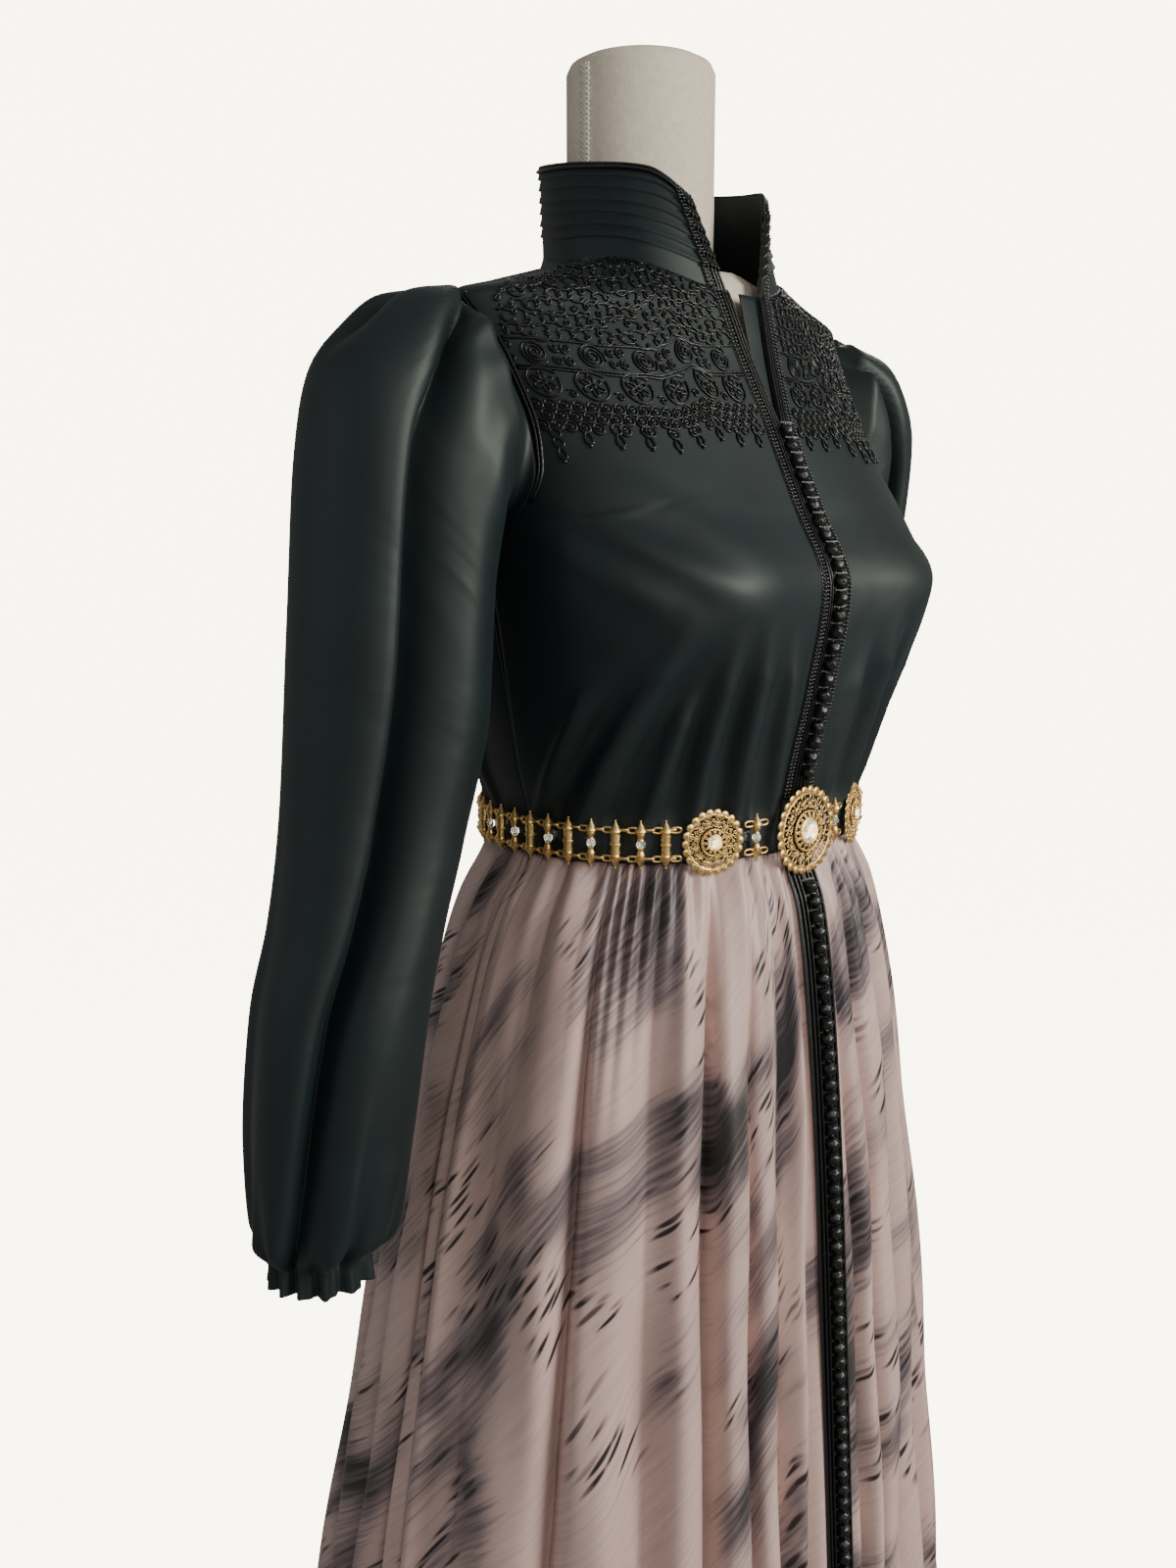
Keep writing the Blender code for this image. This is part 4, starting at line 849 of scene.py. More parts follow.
def skirt_half(side, seed, downs, column, valleys):
    """Half of the skirt with its folds, and its flat places."""
    trim = side == "front_y"
    count = LAST_COLUMN + 1
    creases = [(0.0, -0.25), *((crease, k + 0.5) for k, crease in enumerate(valleys))]
    creases.append((LAST_COLUMN, len(valleys) + 0.15))
    ends = np.minimum((LAST_COLUMN - column) / 2, 1.0)
    if trim:
        ends = np.minimum(ends, column / 2)
    fold = column / POINTS_PER_FOLD
    uneven = 0.86 + 0.22 * np.sin(2.4 * fold + seed) - 0.20 * np.clip((fold - 3.6) / 2.0, 0, 1)
    rows = []
    for down in downs:
        dense = skirt_row(down, side)
        whole = length_of(dense)
        start = SKIRT_HALF_GAP if trim else 0.0
        places = start + (whole - start) * column / LAST_COLUMN
        if trim:
            rest = start + SKIRT_BRAID_WIDTH
            after = rest + (whole - rest) * (column - 1) / (LAST_COLUMN - 1)
            places = np.where(column < 1, start + SKIRT_BRAID_WIDTH * column, after)
        drift = FOLD_DRIFT * (whole / count) * np.sin(1.7 * fold + seed) * ends
        points = along(dense, places + drift)
        flow = np.gradient(points, axis=0)
        out = unit(np.stack([flow[:, 1], -flow[:, 0], 0 * flow[:, 0]], axis=-1))
        out = out * np.sign((out * points).sum())
        out[-1] = (-1, 0, 0)
        swayed = column + 0.55 * np.sin(1.1 * fold + 5 * down + seed)
        phase = read(creases, ("column", "phase"), "phase", swayed)
        strength = uneven * (1.12 + 0.30 * np.sin(7 * down + 2.2 * fold + seed))
        reach = skirt("fold", down) * strength * hung(phase, 0.11 * np.sin(1.9 * fold + seed))
        close = column / 2 + 0.9 * np.sin(1.3 * fold + seed) + 0.15 * np.sin(3.7 * fold)
        heavy = 1.25 + 0.55 * np.sin(2.9 * fold + 2 * seed)
        reach += heavy * skirt("gather", down) * hung(close, 0.08)
        slack = 0.0016 * math.sin(min(1.0, down / 0.25) * math.pi / 2)
        reach += slack * np.sin(3.1 * fold + 26 * down + 2 * seed)
        held = np.clip(ends * 2, 0, 1) if not trim else np.clip((column - 0.9) / 1.6, 0, 1)
        held = held * np.clip((LAST_COLUMN - column) / 1.5, 0, 1)
        rows.append(points + (reach * held)[:, None] * out)
    points = np.array(rows)
    middle_row = points[len(points) * 2 // 3]
    steps = np.linalg.norm(np.diff(middle_row, axis=0), axis=1)
    width = np.concatenate([[0], np.cumsum(steps)])
    flat = np.stack([
        np.broadcast_to(width, points.shape[:2]),
        np.broadcast_to(-np.array(downs)[:, None], points.shape[:2]),
    ], axis=-1)
    return points, flat


# %% The skirt's panels
downs = np.concatenate([np.linspace(0.0145, 0.10, 22)[:-1], np.linspace(0.10, HEM_DOWN, 56)])
fine_columns = np.linspace(0, LAST_COLUMN, 6 * LAST_COLUMN + 1)
RIGHT_VALLEYS = (1.9, 4.6, 7.4, 10.8, 15.4, 21.6, 28.0)
LEFT_VALLEYS = (2.1, 4.4, 7.8, 11.6, 14.8, 19.4, 25.0, 29.4)
BACK_VALLEYS = (2.3, 6.0, 9.0, 13.2, 17.0, 21.8, 25.2, 29.6)
OTHER_BACK_VALLEYS = (1.8, 5.0, 9.4, 12.4, 16.8, 20.4, 25.6, 29.0)
right_skirt, right_skirt_flat = skirt_half("front_y", 0.6, downs, fine_columns, RIGHT_VALLEYS)
left_skirt, left_skirt_flat = skirt_half("front_y", 2.1, downs, fine_columns, LEFT_VALLEYS)
right_skirt_out, left_skirt_out = facing_out(right_skirt), facing_out(left_skirt)
skirt_cloth_right = cloth(
    "skirt_cloth_right", right_skirt, right_skirt_flat + [0.35, 0.62], right_skirt_out,
    satin_print, ["skirt_front_right"],
)
skirt_cloth_left = cloth(
    "skirt_cloth_left", mirrored(left_skirt), left_skirt_flat * [-1, 1] + [3.12, 0.40],
    mirrored(left_skirt_out), satin_print, ["skirt_front_left"],
)
coarse_columns = np.linspace(0, LAST_COLUMN, 5 * LAST_COLUMN + 1)
half_skirt, half_skirt_flat = skirt_half("back_y", 1.3, downs, coarse_columns, BACK_VALLEYS)
other_skirt, other_skirt_flat = skirt_half(
    "back_y", 3.0, downs, coarse_columns, OTHER_BACK_VALLEYS,
)
back_skirt = np.concatenate([half_skirt[:, :0:-1], mirrored(other_skirt)], axis=1)
back_skirt_flat = np.concatenate([
    half_skirt_flat[:, :0:-1] * [-1, 1], other_skirt_flat,
], axis=1)
skirt_cloth_back = cloth(
    "skirt_cloth_back", back_skirt, back_skirt_flat + [5.1, 0.1], facing_out(back_skirt),
    satin_print, ["skirt_back"],
)

# %% [markdown]
# ## The stand collar
#
# The collar stands on the neckline. Its lower quarter is plain, and above that six tucks
# are stitched one over another, each with its fold hanging a little over the one below.
# Its front corners are rounded. The tucks are the rows of the grid, moved out in steps.

# %% The collar's sizes
COLLAR_COLUMNS = ("share", "up")
COLLAR_TOP = ((0.00, 0.421), (0.07, 0.440), (0.16, 0.446), (0.30, 0.455), (0.50, 0.471))
COLLAR_HALF_WIDTH, COLLAR_HALF_DEPTH, COLLAR_MIDDLE_Y, COLLAR_CORNER_X = 0.075, 0.085, 0.012, 0.038
TUCKS, PLAIN_SHARE, TUCK_STEP, SEAM_OVERLAP = 6, 0.26, 2.0 * MM, 4.5 * MM


def collar_foot():
    """The neckline once round, from the right front corner by the back to the left."""
    near = front[-1][np.abs(front[-1, :, 0]) <= NECK_SIDE_X]
    behind = half_back[-1][np.abs(half_back[-1, :, 0]) <= NECK_SIDE_X][::-1]
    half = np.concatenate([near, behind])
    return np.concatenate([half, mirrored(half[:-1][::-1])]) + np.array([0, 0, 0.0005])


foot_line = collar_foot()
collar_share = np.linspace(0, 1, 170)
foot = along(foot_line, collar_share * length_of(foot_line)) - np.array([0, 0, SEAM_OVERLAP])
half_share = np.minimum(collar_share, 1 - collar_share)
corner = math.asin(COLLAR_CORNER_X / COLLAR_HALF_WIDTH)
collar_turn = -math.pi / 2 - corner - collar_share * (2 * math.pi - 2 * corner)
collar_top = np.stack([
    COLLAR_HALF_WIDTH * np.cos(collar_turn),
    COLLAR_MIDDLE_Y + COLLAR_HALF_DEPTH * np.sin(collar_turn),
    read(COLLAR_TOP, COLLAR_COLUMNS, "up", half_share),
], axis=-1)
rises = np.linspace(0, 1, 86)
collar_plain = foot + rises[:, None, None] * (collar_top - foot)
collar_out = facing_out(collar_plain, COLLAR_MIDDLE_Y)
in_tuck = np.clip((rises - PLAIN_SHARE) / (1 - PLAIN_SHARE), 0, 0.9999) * TUCKS % 1.0
tuck_rise = np.where(rises < PLAIN_SHARE, 0.0, TUCK_STEP * (1 - in_tuck) ** 1.5)
collar_points = collar_plain + tuck_rise[:, None, None] * collar_out
collar_flat = np.stack(np.broadcast_arrays(
    collar_share[None, :] * length_of(foot_line) + 3.2, rises[:, None] * 0.07,
), axis=-1)
collar_cloth = cloth(
    "collar_cloth", collar_points, collar_flat, collar_out, satin_dark, ["collar"],
)

# %% [markdown]
# ## What shows inside the neck opening
#
# Inside, a collar is covered by a plain second layer that hides the back of its tucks, and
# the left front has a facing that fills most of the neck opening. Both are one more sheet
# made from points that are there already, moved in by a little more than the cloth's wall.

# %% Collar lining and front facing
LINING_DEPTH, FACING_DEPTH, FACING_FROM, FACING_TO = 2.2 * MM, 1.6 * MM, 0.268, 0.398
CHEST_RADIUS = 0.10
lining_points = collar_plain[3:-1, 2:-2] - LINING_DEPTH * collar_out[3:-1, 2:-2]
collar_lining = cloth(
    "collar_lining", lining_points, collar_flat[3:-1, 2:-2] + [0.6, 0],
    -collar_out[3:-1, 2:-2], satin_dark, [],
)
facing_rows = (heights > FACING_FROM) & (heights < FACING_TO)
left_edge, right_edge = left_front[facing_rows, 0], right_front[facing_rows, 0]
edge_out = mirrored(front_out)[facing_rows, 0]
facing_share = np.linspace(0.94, 0.58, len(left_edge))[:, None] * np.linspace(0, 1, 14)
gap = right_edge - left_edge
crown = (gap ** 2).sum(axis=1)[:, None] * facing_share * (1 - facing_share) / 2 / CHEST_RADIUS
facing_points = (
    left_edge[:, None] + facing_share[..., None] * gap[:, None]
    + (crown - FACING_DEPTH)[..., None] * edge_out[:, None]
)
facing_flat = np.stack(np.broadcast_arrays(
    facing_share * 0.05 + 3.9, heights[facing_rows][:, None],
), axis=-1)
facing_out_ways = np.broadcast_to(edge_out[:, None], facing_points.shape)
front_facing = cloth(
    "front_facing", facing_points, facing_flat, facing_out_ways, satin_dark, [],
)

# %% [markdown]
# ## Cord
#
# All of the trimming is cord. A cord is a curve with a round bevel, and hundreds of short
# cords share one curve object, which then becomes a mesh. Small things that repeat, such as
# stitches, beads and knots, are one small mesh, joined many times over at given places.

# %% Cords and copies
def cords(name, lines, radius, finish, sides=6, closed=False, replaced=()):
    """Round cords along lines of points, given from the belt line, as one mesh."""
    curve = bpy.data.curves.new(name, "CURVE")
    curve.dimensions = "3D"
    curve.bevel_depth, curve.bevel_resolution, curve.use_fill_caps = radius, (sides - 4) // 2, True
    for line in lines:
        spline = curve.splines.new("POLY")
        spline.points.add(len(line) - 1)
        raised = np.concatenate([line + [0, 0, BELT_Z], np.ones((len(line), 1))], axis=1)
        spline.points.foreach_set("co", raised.ravel())
        spline.use_cyclic_u = closed
    maker = bpy.data.objects.new(name, curve)
    bpy.context.scene.collection.objects.link(maker)
    graph = bpy.context.evaluated_depsgraph_get()
    mesh = bpy.data.meshes.new_from_object(maker.evaluated_get(graph))
    bpy.data.objects.remove(maker)
    bm = bmesh.new()
    bm.from_mesh(mesh)
    bmesh.ops.remove_doubles(bm, verts=bm.verts[:], dist=1e-6)
    bm.to_mesh(mesh)
    bm.free()
    mesh.shade_smooth()
    mesh.name = name
    print(name, len(lines), "cords,", len(mesh.polygons), "faces")
    return show(name, mesh, finish, replaced)


def copies(name, made, frames, finish, replaced=()):
    """One mesh joined many times over, once at each frame given from the belt line."""
    bm = bmesh.new()
    lift = Matrix.Translation((0, 0, BELT_Z))
    for place in frames:
        start = len(bm.verts)
        bm.from_mesh(made)
        bm.verts.ensure_lookup_table()
        bmesh.ops.transform(bm, matrix=lift @ place, verts=bm.verts[start:])
    mesh = bpy.data.meshes.new(name)
    bm.to_mesh(mesh)
    bm.free()
    mesh.shade_smooth()
    print(name, len(frames), "copies,", len(mesh.polygons), "faces")
    return show(name, mesh, finish, replaced)


def frame_at(point, across, up, out):
    """A frame whose X, Y and Z run across, up and out of a surface at a point."""
    made = Matrix.Identity(4)
    for column, axis in enumerate((across, up, out, point)):
        for row in range(3):
            made[row][column] = axis[row]
    return made


def ball(name, radius, subdivisions=2, squash=(1, 1, 1)):
    bm = bmesh.new()
    bmesh.ops.create_icosphere(bm, subdivisions=subdivisions, radius=radius)
    bmesh.ops.scale(bm, vec=squash, verts=bm.verts[:])
    mesh = bpy.data.meshes.new(name)
    bm.to_mesh(mesh)
    bm.free()
    return mesh


# %% [markdown]
# ## Laying cord on the front
#
# The embroidery is drawn on the flat cloth, as it is on a real pattern: across from the
# front edge and up from the belt line. This cell carries a flat drawing onto the curved
# front. Each flat place is looked up in the panel's grid and moved out by the cord's lift.

# %% From the flat drawing to the front
flat_normals = facing_out(right_front)


def on_panel(across, height, lift):
    """Points of the right front at places in its grid's rows, moved out by the lift."""
    across, up = np.asarray(across, float), np.asarray(height, float)
    row = (up - WAIST_UP) / (SHOULDER_UP - WAIST_UP) * (len(heights) - 1)
    row = np.clip(row, 0, len(heights) - 1.001)
    low = row.astype(int)
    part = (row - low)[..., None]
    width = front_along[low, -1] * (1 - part[..., 0]) + front_along[low + 1, -1] * part[..., 0]
    column = np.clip(across / width * (front.shape[1] - 1), 0, front.shape[1] - 1.001)
    left = column.astype(int)
    share = (column - left)[..., None]

    def blend(grid):
        near = grid[low, left] * (1 - share) + grid[low, left + 1] * share
        far = grid[low + 1, left] * (1 - share) + grid[low + 1, left + 1] * share
        return near * (1 - part) + far * part

    return blend(right_front) + lift * unit(blend(flat_normals))


def front_width(up):
    return float(np.interp(up, heights, front_along[:, -1]))


def row_at(across, up):
    """The grid's row height at a true height, for the top edge isn't level."""
    height = np.array(up, dtype=float)
    for _ in range(3):
        share = across / np.interp(height, heights, front_along[:, -1])
        top = np.interp(share, np.linspace(0, 1, front.shape[1]), front[-1, :, 2])
        height = WAIST_UP + (up - WAIST_UP) * (SHOULDER_UP - WAIST_UP) / (top - WAIST_UP)
    return height, share


def laid(lines, lift):
    """Flat lines carried onto the front, and cut where they would leave its edges."""
    made = []
    for line in lines:
        height, share = row_at(line[:, 0], line[:, 1])
        inside = (height < SHOULDER_UP - 0.0015) & (share < 0.972)
        points = on_panel(line[:, 0], height, lift)
        breaks = np.flatnonzero(np.diff(inside.astype(int))) + 1
        for piece, kept in zip(np.split(points, breaks), np.split(inside, breaks)):
            if kept.all() and len(piece) > 3:
                made.append(piece)
    return made


print("the front is", round(front_width(0.30), 3), "m wide at the yoke")

# %% [markdown]
# ## The yoke's embroidery
#
# The yoke is covered with black cord in the old manner of corded robes: a meandering net
# from the shoulder down, a row of spirals between two lines, a row of rosettes under looped
# scrolls, three rows of small rings and a fringe of drops. The motifs are traditional and
# their layout here is this lesson's own. They are drawn flat in short functions.

# %% Motifs
NET_LOW, SPIRALS_UP, LINE_UP, ROSETTES_UP = 0.3245, 0.3160, 0.3072, 0.2972
RINGS_UP, RING_PITCH, RING_ROWS, DROPS_UP = 0.2830, 0.0078, 3, 0.2700
YOKE_FROM, YOKE_TO_EDGE = 0.0168, 0.0040
CORD_RADIUS, CORD_LIFT = 0.78 * MM, 0.75 * MM


def spiral(across, up, radius, turns, start=0.0, sense=1.0):
    t = np.linspace(0, 1, int(14 * turns) + 2)
    angle = start + sense * 2 * math.pi * turns * t
    reach = radius * (1 - 0.86 * t)
    return np.stack([across + reach * np.cos(angle), up + reach * np.sin(angle)], axis=-1)


def ring(across, up, radius, points=12):
    turn = np.linspace(0, 2 * math.pi, points + 1)
    return np.stack([across + radius * np.cos(turn), up + radius * np.sin(turn)], axis=-1)


def rosette(across, up, radius, petals=6):
    """Petal loops about a middle, drawn in one stroke."""
    turn = np.linspace(0, 2 * math.pi, petals * 12 + 1)
    reach = radius * (0.24 + 0.76 * np.abs(np.sin(petals * turn / 2)) ** 0.9)
    return np.stack([across + reach * np.cos(turn), up + reach * np.sin(turn)], axis=-1)


def scroll_loop(across, up, radius, foot):
    """A line that drops from the row's upper line, loops round a rosette and runs on."""
    turn = np.linspace(math.radians(128), math.radians(-200), 26)
    loop = np.stack([across + radius * np.cos(turn), up + radius * np.sin(turn)], axis=-1)
    start = np.array([[across - 1.10 * radius, foot], [across - 0.95 * radius, foot - 0.001]])
    return np.concatenate([start, loop])


def drop(across, up, length, width):
    """A long loop that hangs from the rings."""
    t = np.linspace(0, 2 * math.pi, 15)
    return np.stack([
        across + width * np.sin(t) * (0.62 - 0.38 * np.cos(t)),
        up - length * (0.5 - 0.5 * np.cos(t)),
    ], axis=-1)


def net_rows(rng, low, high):
    """Rows of running loops, each row leaning the other way, broken at uneven places."""
    lines = []
    row_pitch, wave = 0.0044, 0.0078
    for k, up in enumerate(np.arange(low + 0.0032, high, row_pitch)):
        t = np.arange(YOKE_FROM, 0.185, 0.00075)
        sway = 0.0016 * np.sin(2 * math.pi * t / 0.033 + 2.1 * k)
        angle = 2 * math.pi * t / wave + math.pi * (k % 2) + rng.uniform(-0.6, 0.6)
        angle = angle + 0.7 * np.sin(2 * math.pi * t / 0.041 + 1.7 * k)
        size = 0.0024 + 0.0006 * np.sin(2 * math.pi * t / 0.026 + 3 * k)
        turn = 1 if k % 2 else -1
        line = np.stack([
            t + turn * 1.15 * size * np.sin(angle), up + sway + size * np.cos(angle),
        ], axis=-1)
        gaps = [0] + sorted(rng.choice(len(t), 6, replace=False)) + [len(t)]
        lines += [line[a:b - 2] for a, b in zip(gaps, gaps[1:]) if b - a > 8]
    return lines


# %% The whole drawing of the yoke
def yoke_drawing():
    rng = np.random.default_rng(7)
    fine = net_rows(rng, NET_LOW, 0.386)
    for up in (NET_LOW, LINE_UP, LINE_UP - 0.0019):
        t = np.linspace(YOKE_FROM - 0.002, 0.19, 90)
        fine.append(np.stack([t, up + 0.0005 * np.sin(t * 90)], axis=-1))
    span = front_width(SPIRALS_UP) - YOKE_TO_EDGE - YOKE_FROM
    for k in range(5):
        across = YOKE_FROM + 0.0065 + (k + 0.30) * span / 5
        fine.append(spiral(across, SPIRALS_UP, 0.0082, 3.0, start=2.2 + 0.4 * k, sense=(-1) ** k))
        side = across + span / 10
        for turn, sense in ((-1.2, 1), (1.9, -1)):
            rise = 0.0040 if sense > 0 else -0.0040
            fine.append(spiral(side - 0.0024, SPIRALS_UP + rise, 0.0034, 1.5, turn, sense))
            fine.append(spiral(side + 0.0042, SPIRALS_UP - rise, 0.0030, 1.3, turn + 2, -sense))
    span = front_width(ROSETTES_UP) - YOKE_TO_EDGE - YOKE_FROM
    for k in range(6):
        across = YOKE_FROM + (k + 0.5) * span / 6
        fine.append(rosette(across, ROSETTES_UP, 0.0068))
        fine.append(scroll_loop(across, ROSETTES_UP, 0.0093, LINE_UP - 0.003))
        fine.append(ring(across, ROSETTES_UP, 0.0016, 8))
        fine.append(spiral(across + span / 12, ROSETTES_UP - 0.0062, 0.0030, 1.3, 0.5))
    for row in range(RING_ROWS):
        up = RINGS_UP - row * 0.0066
        last = front_width(up) - YOKE_TO_EDGE
        count = int((last - YOKE_FROM) / RING_PITCH)
        for k in range(count):
            across = YOKE_FROM + (k + 0.5 + 0.5 * (row % 2)) * (last - YOKE_FROM) / count
            if across < last and (row < 2 or k % 2 == 0 or k > count - 5):
                fine.append(ring(across, up, 0.0033))
                fine.append(ring(across, up, 0.0012, 6))
    ends = []
    last = front_width(DROPS_UP) - YOKE_TO_EDGE
    for k in range(9):
        across = YOKE_FROM + (k + 0.5) * (last - YOKE_FROM) / 9
        low = DROPS_UP - (0.0110 if k == 8 else 0.0)
        if k == 8:
            fine += [ring(across, DROPS_UP - 0.0050, 0.0031), ring(across - 0.004, DROPS_UP, 0.003)]
        fine.append(ring(across, low, 0.0031))
        fine.append(drop(across, low - 0.0022, 0.0080, 0.0034))
        ends.append((across, low - 0.0114))
    return fine, ends


yoke_lines, drop_ends = yoke_drawing()
yoke_right = laid(yoke_lines, CORD_LIFT)
yoke_cords_right = cords(
    "yoke_cords_right", yoke_right, CORD_RADIUS, soutache, replaced=["yoke_embroidery_right"],
)
yoke_cords_left = cords(
    "yoke_cords_left", [mirrored(line) for line in yoke_right], CORD_RADIUS, soutache,
    replaced=["yoke_embroidery_left"],
)

# %% Beads at the ends of the drops
bead = ball("bead", 1.25 * MM, 2)
ends = np.array(drop_ends)
bead_points = on_panel(ends[:, 0], row_at(ends[:, 0], ends[:, 1])[0], 1.2 * MM)
bead_places = [Matrix.Translation(point) for point in bead_points]
bead_places += [Matrix.Translation(point) for point in mirrored(bead_points)]
copies("yoke_beads", bead, bead_places, glint_cord)

# %% [markdown]
# ## The braided front edges
#
# Each front edge carries a braid of five cords, from the hem of the bodice to the top of
# the collar. The two outer cords are chain stitched, and their stitches catch the light.
# The cords lie on a narrow black strip. The armholes carry two cords of the same kind.

# %% Braids of the fronts
BRAID_WIDTH, STRIP_LIFT = 0.0145, 0.6 * MM
BRAID_CORDS = (0.0010, 0.0038, 0.0066, 0.0096, 0.0128)


def edge_line(across, lift, rows):
    """A line at a constant distance from the front edge, up the bodice and the collar."""
    low = on_panel(np.full(len(rows), across), rows, lift)
    share = across / length_of(foot_line)
    column = share * (len(collar_share) - 1)
    left = int(column)
    part = column - left
    up = collar_points[3:, left] * (1 - part) + collar_points[3:, left + 1] * part
    out = collar_out[3:, left]
    return np.concatenate([low, up + (lift + 0.3 * MM) * out])


edge_rows = np.linspace(WAIST_UP + 0.001, SHOULDER_UP, 150)
strip_across = np.linspace(0.0, BRAID_WIDTH, 8)
strip = np.stack([edge_line(across, STRIP_LIFT, edge_rows) for across in strip_across], axis=1)
strip_flat = np.stack(np.broadcast_arrays(
    strip_across[None, :] + 4.0, np.linspace(0, 0.45, len(strip))[:, None],
), axis=-1)
trim_pieces = {"right": [yoke_cords_right], "left": [yoke_cords_left]}
for side, flip in (("right", False), ("left", True)):
    points = mirrored(strip) if flip else strip
    base = cloth(
        "braid_base_" + side, points, strip_flat, facing_out(points), soutache,
        ["braid_front_" + side],
    )
    lines = [edge_line(across, 1.5 * MM, edge_rows) for across in BRAID_CORDS[:3]]
    lines = [mirrored(line) for line in lines] if flip else lines
    plain = cords("braid_cords_" + side, lines, 1.0 * MM, soutache)
    trim_pieces[side] += [base, plain]

# %% Chain stitches
STITCH_PITCH = 2.6 * MM
stitch = ball("stitch", 1.0 * MM, 1, (0.62, 1.35, 0.7))
places = []
for across in BRAID_CORDS[3:]:
    line = edge_line(across, 1.5 * MM, edge_rows)
    count = int(length_of(line) / STITCH_PITCH)
    points = along(line, np.linspace(0, length_of(line), count))
    heading = unit(np.gradient(points, axis=0))
    for k, (point, ahead) in enumerate(zip(points, heading)):
        for lean in (-1, 1):
            side = unit(np.cross(ahead, (0, -1, 0)))
            tilt = unit(ahead + 0.55 * lean * side)
            third = unit(np.cross(side, tilt))
            spot = point + 0.55 * MM * lean * side
            places.append(frame_at(spot, np.cross(tilt, third), tilt, third))
            flipped = spot * [-1, 1, 1]
            turned = tilt * [-1, 1, 1]
            third = unit(np.cross(side * [-1, 1, 1], turned))
            places.append(frame_at(flipped, np.cross(turned, third), turned, third))
copies("front_stitches", stitch, places, glint_cord)

# %% Armhole cords and the collar's piping
edge = heights >= ARMPIT_UP + 0.010
ups = heights[edge]
ups = ups[ups < SHOULDER_UP - 0.002]
for side, flip in (("right", False), ("left", True)):
    lines = []
    for inset in (2.2 * MM, 4.6 * MM):
        across = np.array([front_width(up) for up in ups]) - inset
        lines.append(on_panel(across, ups, 1.0 * MM))
    lines = [mirrored(line) for line in lines] if flip else lines
    piping = cords(
        "armhole_cords_" + side, lines, 1.15 * MM, soutache, replaced=["armhole_cord_" + side],
    )
    trim_pieces[side].append(piping)
rim = collar_points[-1] + np.array([0, 0, 0.2 * MM])
rim_low = collar_points[-4] + 1.4 * MM * collar_out[-4]
collar_piping = cords("collar_piping", [rim, rim_low], 1.1 * MM, soutache)

# %% [markdown]
# ## Knotted buttons
#
# The front closes with small round knots worked in cord, 11 mm apart, each held in a loop
# from the other edge. One knot is a ball with the raised turns of a Turk's head. It is made
# once and joined along the whole front, above and below the belt.

# %% One knot and its loop
BUTTON_PITCH, BELT_CLEARANCE, TOP_BUTTON_UP, LOWEST_RISE = 0.0108, 0.036, 0.275, 0.012


def knot_mesh():
    """A ball whose surface rises and falls as three crossing turns of cord."""
    bm = bmesh.new()
    bmesh.ops.create_icosphere(bm, subdivisions=3, radius=4.9 * MM)
    for vert in bm.verts:
        turn = math.atan2(vert.co.y, vert.co.x)
        rise = math.asin(max(-1.0, min(1.0, vert.co.z / (4.9 * MM))))
        over = math.cos(4 * turn + 3.2 * rise) + math.cos(4 * turn - 3.2 * rise)
        vert.co *= 1 + 0.065 * over
    mesh = bpy.data.meshes.new("knot")
    bm.to_mesh(mesh)
    bm.free()
    return mesh


knot = knot_mesh()


def middle_line(points, out, low, high):
    """The centre front of a panel between two heights, and the way out of it."""
    centre, lean = points[:, 0] * [0, 1, 1], out[:, 0] * [0, 1, 1]
    order = np.argsort(centre[:, 2])
    centre, lean = centre[order], lean[order]
    ups = np.linspace(low, high, 200)
    line = np.stack([0 * ups, np.interp(ups, centre[:, 2], centre[:, 1]), ups], axis=-1)
    away = np.stack([np.interp(ups, centre[:, 2], lean[:, k]) for k in range(3)], axis=-1)
    return line, unit(away)


def buttons(name, points, out, low, high, replaced):
    """Knots and their loops along the centre front."""
    line, away = middle_line(points, out, low, high)
    count = round(length_of(line) / BUTTON_PITCH)
    places = (np.arange(count) + 0.5) * length_of(line) / count
    spots, outs = along(line, places), unit(along(away, places))
    knots, loops, glints = [], [], []
    for k, (spot, lean) in enumerate(zip(spots, outs)):
        up = unit(np.cross((1.0, 0, 0), lean))
        up = up if up[2] > 0 else -up
        middle = spot + 5.2 * MM * lean
        turned = Matrix.Rotation(0.9 * k, 4, "Z")
        knots.append(frame_at(middle, (1, 0, 0), up, np.cross((1, 0, 0), up)) @ turned)
        bow = np.linspace(-1.9, 1.9, 13)
        loops.append(
            spot + 3.4 * MM * lean
            + np.outer(5.6 * np.cos(bow) + 0.6, (MM, 0, 0)) + np.outer(4.6 * MM * np.sin(bow), up)
        )
        between = spot + 0.5 * BUTTON_PITCH * up
        for step in range(-2, 6):
            reach = 3.6 - 0.12 * (step - 1) ** 2
            glints.append(Matrix.Translation(between + reach * MM * lean + (1.7 * MM * step, 0, 0)))
    made = copies(name, knot, knots, soutache, replaced)
    looped = cords(name + "_loops", loops, 0.85 * MM, glint_cord)
    # Painted highlight: the rungs are pale grey to stand in for glints on dark cord.
    rung = ball("rung", 0.95 * MM, 1, (1.1, 0.7, 0.7))
    stitched = copies(name + "_rungs", rung, glints, painted_glint_thread)
    return [made, looped, stitched]


buttons(
    "knots_bodice", front, front_out, BELT_CLEARANCE, TOP_BUTTON_UP, ["buttons_bodice"],
)
buttons(
    "knots_skirt", right_skirt, right_skirt_out, LOWEST_RISE - HEM_DOWN, -BELT_CLEARANCE,
    ["buttons_skirt"],
)

